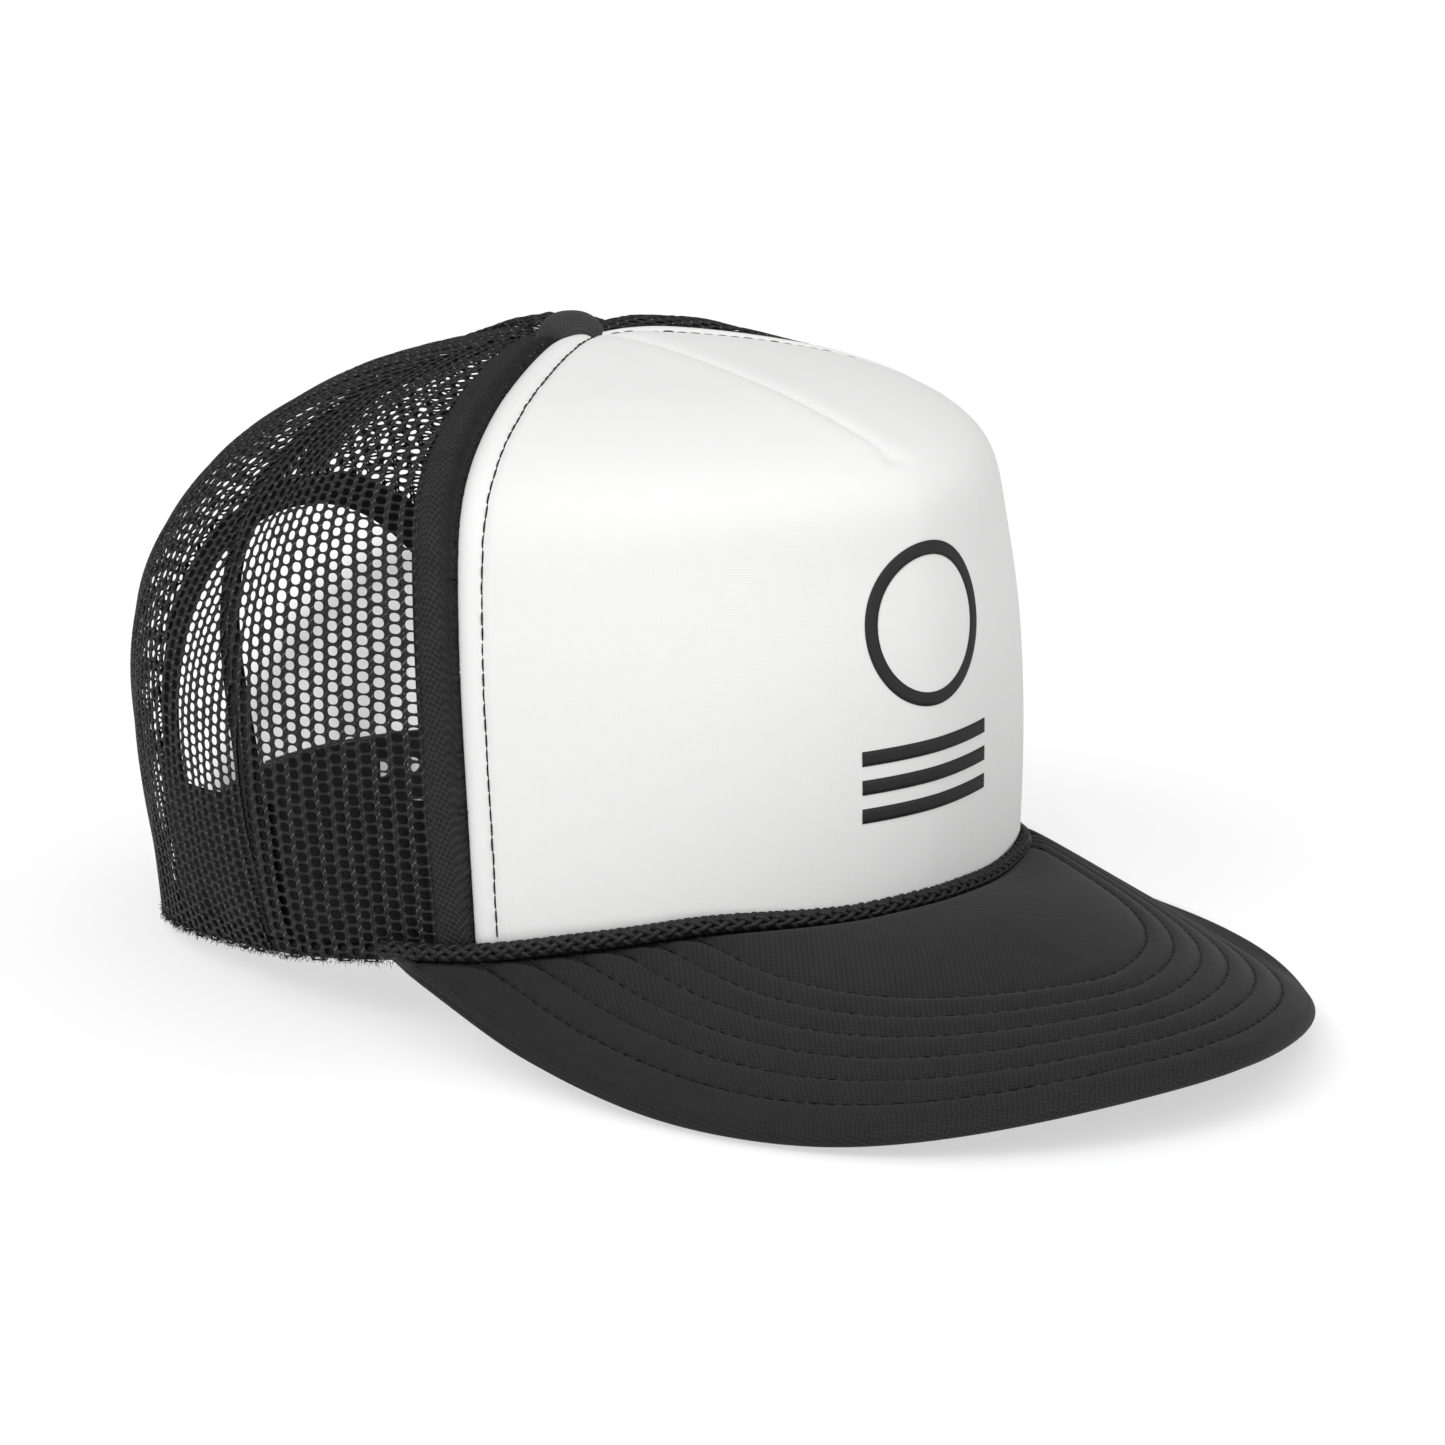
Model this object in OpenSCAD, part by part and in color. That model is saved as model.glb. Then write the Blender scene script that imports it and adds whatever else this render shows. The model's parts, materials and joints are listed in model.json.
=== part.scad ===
// Five-panel trucker cap: foam front, net sides and back, padded bill, snap strap.
// Frame: +Z up, bill towards -Y, wearer's left is +X. The hem and the bill stand on Z = 0.

/* [Crown] */
// half of the crown's outside width at the hem
half_width = 90.3; // [76:0.1:105]
// from the crown's axis to the front of the hem
front_depth = 95.6; // [80:0.1:111]
// from the crown's axis to the back of the hem
rear_depth = 103.2; // [86:0.1:120]
// height of the crown's top over the surface that it stands on
crown_height = 127.3; // [105:0.1:149]
// height of the hem at the middle of the front
front_lift = 27.1; // [23:0.1:36]
// how far the crown's top sits behind its axis
top_set_back = 7.4; // [0:0.1:15]
// how far the back hem is drawn in
rear_tuck = 4.8; // [0:0.1:8]

/* [Panels] */
// azimuth of the seam between the foam front and the side net
front_seam = 58.7; // [48:0.1:66]
// thickness of the woven face of the front
face_t = 0.7; // [0.4:0.1:1.2]
// thickness of the foam behind it
foam_t = 2.5; // [1.5:0.1:4]
// thickness of the net
net_t = 0.8; // [0.4:0.1:1.2]
// width of the tapes over the inside seams
tape_w = 8.5; // [5:0.5:11]
// height of the sweatband
sweatband_h = 32.5; // [25:0.5:40]

/* [Back opening] */
// half of the opening's width
open_half = 46; // [38:1:52]
// height of the opening over the strap
open_h = 58; // [42:1:65]
// width of the binding round the opening
binding_w = 8; // [5:0.5:10]

/* [Bill] */
// azimuth of the bill's corners on the crown
bill_corner = 69.7; // [62:0.1:78]
// length of the bill at its middle
bill_len = 76.3; // [61:0.1:89]
// half of the bill's width near its corners
bill_half = 84.6; // [77:0.1:97]
// thickness of the stiff board
board_t = 1.6; // [1:0.1:2.4]
// thickness of the foam pad over the board
pad_t = 1.2; // [0.6:0.1:2]
// thickness of the cover cloth
cloth_t = 0.6; // [0.4:0.1:1]
// distance from the rim to the first stitch row
row_first = 6.5; // [4:0.1:9]
// distance between the stitch rows
row_gap = 5.35; // [4:0.05:7]
// thickness of the braided rope
rope_d = 3.5; // [2.4:0.1:4.5]

/* [Button] */
// outside diameter of the button
button_d = 15.2; // [12:0.1:18]
// height of the button's dome
button_h = 4; // [2.5:0.1:5]

/* [Snap strap] */
// height of the strap
strap_h = 17; // [12:0.5:20]
// thickness of the strap
strap_t = 1.2; // [0.8:0.1:1.8]
// radius of a stud
stud_r = 1.5; // [1.2:0.1:2]
// radius of a hole
hole_r = 2.1; // [1.8:0.1:2.6]
// angle between two studs
stud_step = 6.5; // [6:0.25:8]

/* [Hidden] */

// superellipse powers of the plan and of the profile, front and back
plan_front = 1.82; plan_front_top = -0.175; plan_rear = 1.88; plan_rear_top = 0.4;
wall_front = 7.77; wall_rear = 4.05; dome_front = 1.8; dome_rear = 1.52;
wall_bulge = 0.025;
mean_r = (half_width + front_depth) / 2;
tuck_decay = 12.6;
// azimuth where the hem comes down to the surface, and how it rises in front of that
hem_flat = 145; hem_power = 1.9;
// side seam azimuth: at the hem, gain towards the top, start and length of the swing
side_seam = 92; side_swing = 22; swing_from = 0.2; swing_over = 0.55;
// fall of the bill forwards and across
bill_drop = 16.6; bill_arch = 25.1; bill_arch4 = 1.5;
rim_side = 1.55; rim_front = 3.7; rim_set = 1.1;
gap = 0.3;
hem_h = 3;
tape_t = 0.8;
pole_r = 5;
tape_end = 0.13;
sweat_d = 4; sweat_t = 1.2;
under_t = cloth_t;
bill_top = board_t / 2 + pad_t + cloth_t;
rows = 6; row_w = 0.6; row_h = 0.3;
rope_sides = 8;
// the middle of the whole cap lies over the origin
rear_most = rear_depth - 2.7;
y_mid = (front_depth + bill_len - rear_most) / 2;

// strap arcs: both hang on one centre, the strap with holes outside
strap_z = 0.6;
pair_gap = 0.4;
root_x = open_half - 1.5;
hinge_gap = 0.4;
tab_deg = 7;
studs = 7;
tip_deg = 1.5 * stud_step + 5;

function smooth(t) = let (k = max(0, min(1, t))) k * k * (3 - 2 * k);
function frontness(phi) = smooth((cos(phi) + 0.35) / 1.1);
function plan(phi, zeta = 0) =
  let (f = cos(phi) > 0,
       b = f ? front_depth : rear_depth,
       n = f ? plan_front + plan_front_top * zeta : plan_rear + plan_rear_top * zeta)
  pow(pow(abs(sin(phi)) / half_width, n) + pow(abs(cos(phi)) / b, n), -1 / n);
function bill_z(x, y) =
  let (f = max(-1, min(1.5, -(y + front_depth) / bill_len)), k = abs(x) / bill_half)
  front_lift - bill_drop * f - bill_arch * k * k - bill_arch4 * k * k * k * k;
function hem(phi) =
  let (p = abs(phi), q = min(p, bill_corner), r = plan(q),
       zb = bill_z(r * sin(q), -r * cos(q)),
       t = max(0, hem_flat - p) / (hem_flat - bill_corner))
  p <= bill_corner ? zb : zb * pow(t, hem_power);

// a point of the crown's outside: azimuth phi, height 0 to 1 in u
function skin(phi, u) =
  let (w = frontness(phi), m = wall_rear + (wall_front - wall_rear) * w,
       q = dome_rear + (dome_front - dome_rear) * w,
       zeta = sin(90 * max(0, min(1, u))), rho = pow(max(0, 1 - pow(zeta, m)), 1 / q),
       h = hem(phi),
       r = plan(phi, zeta) * rho * (1 + wall_bulge * sin(180 * zeta))
         - rear_tuck * (1 - w) * exp(-zeta * crown_height / tuck_decay) * rho)
  [r * sin(phi), -r * cos(phi) + top_set_back * pow(zeta, 1.5), h + (crown_height - h) * zeta];
function unit(v) = v / norm(v);
function out(phi, u) =
  let (a = 0.4, b = 0.004, lo = max(0, u - b), hi = min(0.999, u + b))
  unit(cross(skin(phi + a, u) - skin(phi - a, u), skin(phi, hi) - skin(phi, lo)));
// the same, moved in by d along the normal
function layer(phi, u, d) = skin(phi, u) - d * out(phi, u);
// u at a height e over the hem
function u_at(phi, e) = asin(min(1, e / (crown_height - hem(phi)))) / 90;
// u where the dome has closed in to the share rho of its width
function u_closed(phi, rho) =
  let (w = frontness(phi), m = wall_rear + (wall_front - wall_rear) * w,
       q = dome_rear + (dome_front - dome_rear) * w)
  asin(pow(1 - pow(rho, q), 1 / m)) / 90;
function side_at(u) = side_seam + side_swing * smooth((u - swing_from) / swing_over);
function wide(u) = max(0.08, pow(max(0, 1 - pow(sin(90 * u), 5)), 1 / 1.65));
// degrees of azimuth taken by a length on the crown
function deg_at(len, u) = len / (mean_r * wide(u)) * 180 / PI;
// azimuth behind the crown where the outside has the given x
function phi_back(x, z, phi = 150, n = 14) =
  n == 0 ? phi :
  let (u = asin(min(1, z / crown_height)) / 90, p = skin(phi, u), q = skin(phi + 0.5, u))
  phi_back(x, z, phi + (abs(x) - p[0]) * 0.5 / (q[0] - p[0]) * 0.9, n - 1);
function at_back(x, z, d) =
  let (p = layer(phi_back(abs(x), z), asin(z / crown_height) / 90, d)) [x < 0 ? -p[0] : p[0], p[1], p[2]];

// a closed slab between two equal grids of points, outside first
module slab(A, B) {
  r = len(A); c = len(A[0]); n = r * c;
  pts = concat([for (row = A) each row], [for (row = B) each row]);
  polyhedron(pts, convexity = 8, faces = concat(
    [for (i = [0:r - 2], j = [0:c - 2]) let (k = i * c + j) each [[k, k + c + 1, k + 1], [k, k + c, k + c + 1]]],
    [for (i = [0:r - 2], j = [0:c - 2]) let (k = n + i * c + j) each [[k, k + 1, k + c + 1], [k, k + c + 1, k + c]]],
    [for (i = [0:r - 2]) let (k = i * c, l = k + c - 1) each
      [[k, n + k, n + k + c], [k, n + k + c, k + c], [l, l + c, n + l + c], [l, n + l + c, n + l]]],
    [for (j = [0:c - 2]) let (k = (r - 1) * c + j) each
      [[j, j + 1, n + j + 1], [j, n + j + 1, n + j], [k, n + k, n + k + 1], [k, n + k + 1, k + 1]]]));
}
// a tube of four-sided or round section through the points, with the section given per point
module tube(rings) {
  n = len(rings); m = len(rings[0]);
  polyhedron([for (r = rings) each r], convexity = 8, faces = concat(
    [for (i = [0:n - 2], j = [0:m - 1]) let (k = i * m, l = (j + 1) % m)
      each [[k + j, k + m + j, k + m + l], [k + j, k + m + l, k + l]]],
    [[for (j = [0:m - 1]) j]], [[for (j = [m - 1:-1:0]) (n - 1) * m + j]]));
}
module put() translate([0, y_mid, 0]) children();
module right() mirror([1, 0, 0]) children();

// panels -------------------------------------------------------------------
net_from = deg_at(gap, 0);
function front_grid(d) = [for (i = [0:22]) let (k = i / 22)
  [for (j = [0:24]) let (phi = front_seam * (j / 12 - 1),
      lo = u_at(phi, hem_h + gap), hi = u_closed(phi, pole_r / mean_r)) layer(phi, lo + (hi - lo) * k, d)]];
module front_panel_face() color([0.96, 0.96, 0.95]) put() slab(front_grid(0), front_grid(face_t));
module front_panel_foam() color([0.93, 0.92, 0.88]) put()
  slab(front_grid(face_t), front_grid(face_t + foam_t));

function net_grid(from, to, d, n) = [for (i = [0:22]) let (k = i / 22)
  [for (j = [0:n]) let (t = j / n, u0 = k * 0.97,
      phi = from(u0) + (to(u0) - from(u0)) * t,
      lo = u_at(phi, hem_h + gap), hi = u_closed(phi, pole_r / mean_r)) layer(phi, lo + (hi - lo) * k, d)]];
module side_net() {
  a = function (u) front_seam + net_from; b = function (u) side_at(u) - net_from / 2;
  slab(net_grid(a, b, 0, 8), net_grid(a, b, net_t, 8));
}
module back_net() {
  a = function (u) side_at(u) + net_from / 2; b = function (u) 180 - net_from / 2;
  difference() {
    slab(net_grid(a, b, 0, 14), net_grid(a, b, net_t, 14));
    opening_cut();
  }
}
module opening_cut() translate([0, rear_depth + 40, 0]) rotate([90, 0, 0]) linear_extrude(rear_depth) {
  translate([0, strap_z + strap_h]) scale([open_half, open_h]) circle(1, $fn = 72);
  translate([-open_half, -10]) square([2 * open_half, strap_z + strap_h + 10]);
}
module side_mesh_left() color([0.13, 0.13, 0.13]) put() side_net();
module side_mesh_right() color([0.13, 0.13, 0.13]) put() right() side_net();
module back_mesh_left() color([0.13, 0.13, 0.13]) put() back_net();
module back_mesh_right() color([0.13, 0.13, 0.13]) put() right() back_net();

// tapes inside -----------------------------------------------------------------
tape_d = net_t + gap;
function tape_grid(mid, from, to, w, d) = [for (i = [0:20]) let (u = from + (to - from) * i / 20)
  [for (j = [-1:1]) layer(mid(u) + j * deg_at(w / 2, u), u, d)]];
module tape(mid, from, to, w) slab(tape_grid(mid, from, to, w, tape_d), tape_grid(mid, from, to, w, tape_d + tape_t));
module front_tape() tape(function (u) front_seam + deg_at(tape_w / 2 + gap, u),
  u_at(front_seam, hem_h + 1), u_closed(front_seam, tape_end), tape_w);
module side_tape() tape(function (u) side_at(u),
  u_at(side_seam, hem_h + 1), u_closed(side_seam + side_swing, tape_end), tape_w);
module seam_tape_front_left() color([0.1, 0.1, 0.1]) put() front_tape();
module seam_tape_front_right() color([0.1, 0.1, 0.1]) put() right() front_tape();
module seam_tape_side_left() color([0.1, 0.1, 0.1]) put() side_tape();
module seam_tape_side_right() color([0.1, 0.1, 0.1]) put() right() side_tape();
module seam_tape_center_back() color([0.1, 0.1, 0.1]) put()
  tape(function (u) 180, u_at(180, strap_z + strap_h + open_h + binding_w + 0.8), u_closed(180, tape_end), tape_w);

// the binding follows the arch of the opening and both of its legs
leg_n = 4; arch_n = 36; foot_z = strap_z + strap_h; leg_z = hem_h + 0.4;
function arch_at(k, e) =
  k < 0 ? [-(open_half + e), foot_z + k * (foot_z - leg_z) / leg_n] :
  k > arch_n ? [open_half + e, foot_z - (k - arch_n) * (foot_z - leg_z) / leg_n] :
  [-(open_half + e) * cos(180 * k / arch_n), foot_z + (open_h + e) * sin(180 * k / arch_n)];
function binding_grid(d) = [for (j = [0:2]) [for (k = [-leg_n:arch_n + leg_n])
  let (p = arch_at(k, gap + j * binding_w / 2)) at_back(p[0], p[1], d)]];
module opening_binding() color([0.1, 0.1, 0.1]) put()
  slab(binding_grid(tape_d), binding_grid(tape_d + tape_t));

// rings round the head opening
module ring(end, n, lo, hi, d0, d1, m) slab(
  [for (i = [0:m]) [for (j = [0:n]) let (p = end * (2 * j / n - 1)) layer(p, u_at(p, lo + (hi - lo) * i / m), d0)]],
  [for (i = [0:m]) [for (j = [0:n]) let (p = end * (2 * j / n - 1)) layer(p, u_at(p, lo + (hi - lo) * i / m), d1)]]);
module sweatband() color([0.09, 0.09, 0.09]) put()
  ring(hem_flat - 1, 64, 0.6, sweatband_h, sweat_d, sweat_d + sweat_t, 4);
module hem_tape() color([0.09, 0.09, 0.09]) put()
  ring(hem_flat, 64, 0, hem_h, 0, face_t + foam_t + 0.4, 1);

// bill ---------------------------------------------------------------------
ss = [for (i = [-16:16]) i / 16];
ww = [0, 0.04, 0.15, 0.29, 0.43, 0.57, 0.7, 0.81, 0.9, 0.965, 0.981, 0.993, 1];
rim_w = 0.965; board_s = 14; bill_set = 0.8;
function bill_in(s) = let (p = layer(s * bill_corner, 0, -bill_set)) [p[0], p[1]];
function bill_out(s) =
  let (a = 90 * s, yc = -plan(bill_corner) * cos(bill_corner) + rim_set)
  [bill_half * sign(s) * pow(abs(sin(a)), 2 / rim_side),
   yc - (front_depth + bill_len + yc) * pow(abs(cos(a)), 2 / rim_front)];
function bill_xy(s, w) = bill_in(s) + (bill_out(s) - bill_in(s)) * w;
function bill_pt(s, w, dz) = let (p = bill_xy(s, w)) [p[0], p[1], bill_z(p[0], p[1]) + dz];
// share of the full height that is left inside the rolled rim
function rim(w) = w <= rim_w ? 1 : sqrt(max(0, 1 - pow((w - rim_w) / (1 - rim_w), 2)));
function bill_grid(dz, c, si, wi) = [for (j = wi) [for (i = si)
  bill_pt(ss[i], ww[j], dz * rim(ww[j]) + c)]];
all_s = [for (i = [0:32]) i]; all_w = [for (i = [0:len(ww) - 1]) i];
in_s = [for (i = [16 - board_s:16 + board_s]) i]; in_w = [for (i = [1:9]) i];
module bill_board() color([0.75, 0.73, 0.68]) put()
  slab(bill_grid(board_t / 2, 0, in_s, in_w), bill_grid(-board_t / 2, 0, in_s, in_w));
module bill_foam_pad() color([0.85, 0.84, 0.8]) put()
  slab(bill_grid(board_t / 2 + pad_t, 0, in_s, in_w), bill_grid(board_t / 2, 0, in_s, in_w));
module bill_top_cover() color([0.17, 0.17, 0.17]) put()
  slab(bill_grid(board_t / 2 + pad_t, cloth_t, all_s, all_w), bill_grid(board_t / 2 + pad_t, 0, all_s, all_w));
module bill_under_cover() color([0.15, 0.15, 0.15]) put()
  slab(bill_grid(-board_t / 2, 0, all_s, all_w), bill_grid(-board_t / 2, -under_t, all_s, all_w));

// stitch rows keep their distance from the rim and run up to the rope
function row_xy(s, d) =
  let (a = bill_out(s - 0.004), b = bill_out(s + 0.004), t = unit(b - a)) bill_out(s) + d * [-t[1], t[0]];
function clear_of_crown(p) = let (phi = atan2(p[0], -p[1])) norm(p) > plan(phi) + rope_d + 1.3;
function row_path(d) = [for (s = [-0.93:0.0465:0.931]) let (p = row_xy(s, d)) if (clear_of_crown(p) &&
  abs(p[0]) < bill_half - d + 1) p];
module thread(path, top) {
  n = len(path);
  tube([for (i = [0:n - 1]) let (t = unit(path[min(n - 1, i + 1)] - path[max(0, i - 1)]),
      q = [-t[1], t[0]] * row_w / 2, a = path[i] + q, b = path[i] - q,
      za = bill_z(a[0], a[1]) + top, zb = bill_z(b[0], b[1]) + top)
    [[a[0], a[1], za], [b[0], b[1], zb], [b[0], b[1], zb + row_h], [a[0], a[1], za + row_h]]]);
}
module bill_stitching() color([0.05, 0.05, 0.05]) put()
  for (i = [0:rows - 1]) thread(row_path(row_first + i * row_gap), bill_top + 0.12);

// rope in the corner between the crown and the bill
rope_end = bill_corner + 1.5; rope_n = 66;
function rope_mid(phi) = layer(phi, u_at(phi, bill_top + rope_d / 2 + 0.25), -(rope_d / 2 + gap));
module rope_braid() color([0.07, 0.07, 0.07]) put()
  tube([for (i = [0:rope_n]) let (phi = rope_end * (2 * i / rope_n - 1), c = rope_mid(phi),
      t = unit(rope_mid(phi + 1) - rope_mid(phi - 1)), n = unit(cross(t, [0, 0, 1])), b = cross(n, t))
    [for (j = [0:rope_sides - 1]) let (a = 360 * j / rope_sides) c + rope_d / 2 * (cos(a) * n - sin(a) * b)]]);

// threads and print on the front
module seam_thread() {
  n = 40; lift = 0.05; thread_in = 6.2;
  u0 = u_at(front_seam, hem_h + 3); u1 = u_closed(front_seam, 0.1);
  function mid(u) = front_seam - deg_at(thread_in, u);
  slab([for (i = [0:n]) let (u = u0 + (u1 - u0) * i / n) [for (j = [-1, 1])
      layer(mid(u) + j * deg_at(row_w / 2, u), u, -lift - row_h)]],
    [for (i = [0:n]) let (u = u0 + (u1 - u0) * i / n) [for (j = [-1, 1])
      layer(mid(u) + j * deg_at(row_w / 2, u), u, -lift)]]);
}
module front_topstitch() color([0.1, 0.1, 0.1]) put() { seam_thread(); right() seam_thread(); }

// plain motif: a ring over three bars, as thin films
print_z = 80; print_r = 16; print_line = 3; bar_len = 36; bar_z = [56, 50.3, 44.6];
function film(x, z, d) = let (phi = x / front_depth * 180 / PI) layer(phi, u_at(phi, z - hem(phi)), d);
film_out = -0.25; film_in = -0.1; turn = 359.6 / 36;
function ring_film(d) = [for (i = [0, 1]) [for (k = [0:36]) let (r = print_r + i * print_line)
  film(r * sin(turn * k), print_z + r * cos(turn * k), d)]];
function bar_film(z, d) = [for (i = [0, 1]) [for (k = [0:10])
  film(bar_len * (k / 10 - 0.5), z + i * print_line, d)]];
module front_print() color([0.3, 0.3, 0.3]) put() {
  slab(ring_film(film_out), ring_film(film_in));
  for (z = bar_z) slab(bar_film(z, film_out), bar_film(z, film_in));
}

// button ---------------------------------------------------------------------
button_r = button_d / 2; cover_t = 0.5; shell_t = 1.2; seat = crown_height + 0.2;
hollow_r = button_r * 0.6; ceiling_h = button_h - cover_t - shell_t;
post_r = 1.5; washer_r = 6.5; washer_t = 0.8;
washer_top = crown_height - 0.8 - face_t - foam_t - gap;
module dome(r, h) intersection() {
  scale([1, 1, h / r]) sphere(r, $fn = 64);
  cylinder(r = r + 1, h = h + 1, $fn = 64);
}
module over_top() put() translate([0, top_set_back, 0]) children();
module button_cover() color([0.2, 0.2, 0.2]) over_top() translate([0, 0, seat]) difference() {
  dome(button_r, button_h); dome(button_r - cover_t, button_h - cover_t);
}
module button_shell() color([0.6, 0.6, 0.6]) over_top() translate([0, 0, seat]) difference() {
  dome(button_r - cover_t, button_h - cover_t);
  translate([0, 0, -1]) cylinder(r = hollow_r, h = 1 + ceiling_h, $fn = 48);
}
module button_post() color([0.65, 0.65, 0.65]) over_top()
  translate([0, 0, washer_top - washer_t]) cylinder(r = post_r,
    h = seat + ceiling_h - washer_top + washer_t, $fn = 32);
module button_washer() color([0.6, 0.6, 0.6]) over_top()
  translate([0, 0, washer_top - washer_t]) difference() {
    cylinder(r = washer_r, h = washer_t, $fn = 48);
    translate([0, 0, -1]) cylinder(r = post_r, h = washer_t + 2, $fn = 32);
  }

// snap strap -------------------------------------------------------------------
tab_pt = skin(phi_back(root_x + 4, strap_z + 1), u_at(150, 1));
tab_out = out(phi_back(root_x + 4, strap_z + 1), u_at(150, 1));
tab_in = tab_pt - (tape_d + tape_t + gap + strap_t / 2) * tab_out;
strap_y = skin(180, u_at(180, strap_z + 1))[1] - 1.5;
strap_sag = strap_y - tab_in[1];
hole_arc = (tab_in[0] * tab_in[0] + strap_sag * strap_sag) / (2 * strap_sag);
stud_arc = hole_arc - strap_t - pair_gap;
arc_y = strap_y - hole_arc;
function root_deg(arc) = asin(root_x / arc);
module arc_strip(arc, from, to) translate([0, arc_y, strap_z]) rotate([0, 0, 90 - to])
  rotate_extrude(angle = to - from, $fn = 180) translate([arc - strap_t / 2, 0]) square([strap_t, strap_h]);
module on_arc(arc, deg) translate([0, arc_y, strap_z]) rotate([0, 0, -deg]) translate([0, arc, 0]) children();
module strip(arc) {
  arc_strip(arc, -tip_deg, root_deg(arc));
  on_arc(arc, root_deg(arc)) cylinder(d = strap_t, h = strap_h, $fn = 24);
}
module tab(arc) let (a = (strap_t / 2 + hinge_gap) / arc * 180 / PI)
  arc_strip(arc, root_deg(arc) + a, root_deg(arc) + tab_deg);
module hole_strap() color([0.08, 0.08, 0.08]) put() difference() {
  strip(hole_arc);
  for (i = [0:studs - 1]) on_arc(hole_arc, (i - 1.5) * stud_step) translate([0, 0, strap_h / 2])
    rotate([90, 0, 0]) cylinder(r = hole_r, h = 4 * strap_t, center = true, $fn = 32);
}
module stud_strap() color([0.08, 0.08, 0.08]) put() right() {
  strip(stud_arc);
  for (i = [0:studs - 1]) on_arc(stud_arc, (i - 1.5) * stud_step) translate([0, 0, strap_h / 2])
    rotate([-90, 0, 0]) {
      cylinder(r = stud_r, h = 2.5 * strap_t + pair_gap, $fn = 32);
      translate([0, 0, 2.5 * strap_t + pair_gap - 0.6]) cylinder(r = stud_r + 0.25, h = 0.6, $fn = 32);
    }
}
module hole_strap_tab() color([0.08, 0.08, 0.08]) put() tab(hole_arc);
module stud_strap_tab() color([0.08, 0.08, 0.08]) put() right() tab(stud_arc);
tack_x = open_half + 3; tack_w = 1.2; tack_lo = 4.5; tack_hi = 14.5;
module tack() slab(
  [for (i = [0:3]) [for (j = [0, 1]) at_back(tack_x + j * tack_w, tack_lo + (tack_hi - tack_lo) * i / 3, -0.35)]],
  [for (i = [0:3]) [for (j = [0, 1]) at_back(tack_x + j * tack_w, tack_lo + (tack_hi - tack_lo) * i / 3, -0.06)]]);
module strap_bartacks() color([0.05, 0.05, 0.05]) put() { tack(); right() tack(); }

front_panel_face();
front_panel_foam();
side_mesh_right();
side_mesh_left();
back_mesh_right();
back_mesh_left();
seam_tape_front_right();
seam_tape_front_left();
seam_tape_side_right();
seam_tape_side_left();
seam_tape_center_back();
opening_binding();
sweatband();
hem_tape();
rope_braid();
bill_board();
bill_foam_pad();
bill_top_cover();
bill_under_cover();
bill_stitching();
front_topstitch();
front_print();
button_cover();
button_shell();
button_post();
button_washer();
hole_strap();
hole_strap_tab();
stud_strap();
stud_strap_tab();
strap_bartacks();
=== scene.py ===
import bpy, json, math
import numpy as np
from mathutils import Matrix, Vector
from mathutils.kdtree import KDTree

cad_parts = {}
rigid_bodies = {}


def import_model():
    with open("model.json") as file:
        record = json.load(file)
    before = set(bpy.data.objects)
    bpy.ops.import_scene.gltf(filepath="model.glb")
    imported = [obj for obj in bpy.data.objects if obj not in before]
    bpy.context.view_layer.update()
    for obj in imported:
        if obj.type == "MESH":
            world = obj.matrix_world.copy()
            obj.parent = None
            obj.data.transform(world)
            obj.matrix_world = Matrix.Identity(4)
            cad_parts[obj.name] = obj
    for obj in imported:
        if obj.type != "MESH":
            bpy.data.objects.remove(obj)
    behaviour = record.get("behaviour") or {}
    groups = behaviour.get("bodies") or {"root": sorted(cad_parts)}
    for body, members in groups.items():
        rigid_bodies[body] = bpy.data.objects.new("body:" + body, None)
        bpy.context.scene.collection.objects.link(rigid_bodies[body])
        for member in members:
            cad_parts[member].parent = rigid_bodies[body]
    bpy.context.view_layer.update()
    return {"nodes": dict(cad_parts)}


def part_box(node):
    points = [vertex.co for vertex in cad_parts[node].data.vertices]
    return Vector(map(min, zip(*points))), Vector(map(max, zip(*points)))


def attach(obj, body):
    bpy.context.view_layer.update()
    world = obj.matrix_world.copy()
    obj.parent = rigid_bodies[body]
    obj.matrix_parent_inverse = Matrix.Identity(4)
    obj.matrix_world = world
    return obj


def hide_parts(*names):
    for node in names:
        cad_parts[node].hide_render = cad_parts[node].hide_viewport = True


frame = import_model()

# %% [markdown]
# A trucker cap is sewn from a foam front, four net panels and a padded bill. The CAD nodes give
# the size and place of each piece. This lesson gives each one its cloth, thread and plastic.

bpy.ops.object.select_all(action="DESELECT")
scene = bpy.context.scene
MM = 0.001

# %% [markdown]
# The crown is one smooth shape. Its plan and its side view are superellipses, so every panel can
# be laid on it by an azimuth in degrees (0 at the front) and a height u from 0 at the hem to 1.

# %% The crown's sizes, in millimetres
half_width, front_depth, rear_depth, crown_height = 90.3, 95.6, 103.2, 127.3
front_lift, top_set_back, rear_tuck = 27.1, 7.4, 4.8
front_seam, bill_corner, bill_len, bill_half = 59.2, 69.7, 76.3, 84.6
pole_r, hem_h, sweatband_h, tape_w = 5.0, 3.0, 32.5, 8.5
open_half, open_h, foot_z, binding_w = 46.0, 58.0, 17.6, 8.0
rope_d, hem_end, bill_lean = 3.5, 145, 0.028
stitch_in, dart_from, tape_top = 5.4, 0.63, 0.13
row_first, row_gap, rows = 6.5, 5.35, 6
mean_r = (half_width + front_depth) / 2
pole = pole_r / mean_r
y_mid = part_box("bill_top_cover")[0].y / MM + front_depth + bill_len
print("crown centre at y", round(y_mid, 2), "mm")

# %% The crown as functions
D2R = np.pi / 180


def smooth(t):
    t = np.clip(t, 0, 1)
    return t * t * (3 - 2 * t)


def plan(phi, zeta=0.0):
    s, c = np.abs(np.sin(phi * D2R)), np.cos(phi * D2R)
    b = np.where(c > 0, front_depth, rear_depth)
    n = np.where(c > 0, 1.82 - 0.175 * zeta, 1.88 + 0.4 * zeta)
    return ((s / half_width) ** n + (np.abs(c) / b) ** n) ** (-1 / n)


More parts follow.
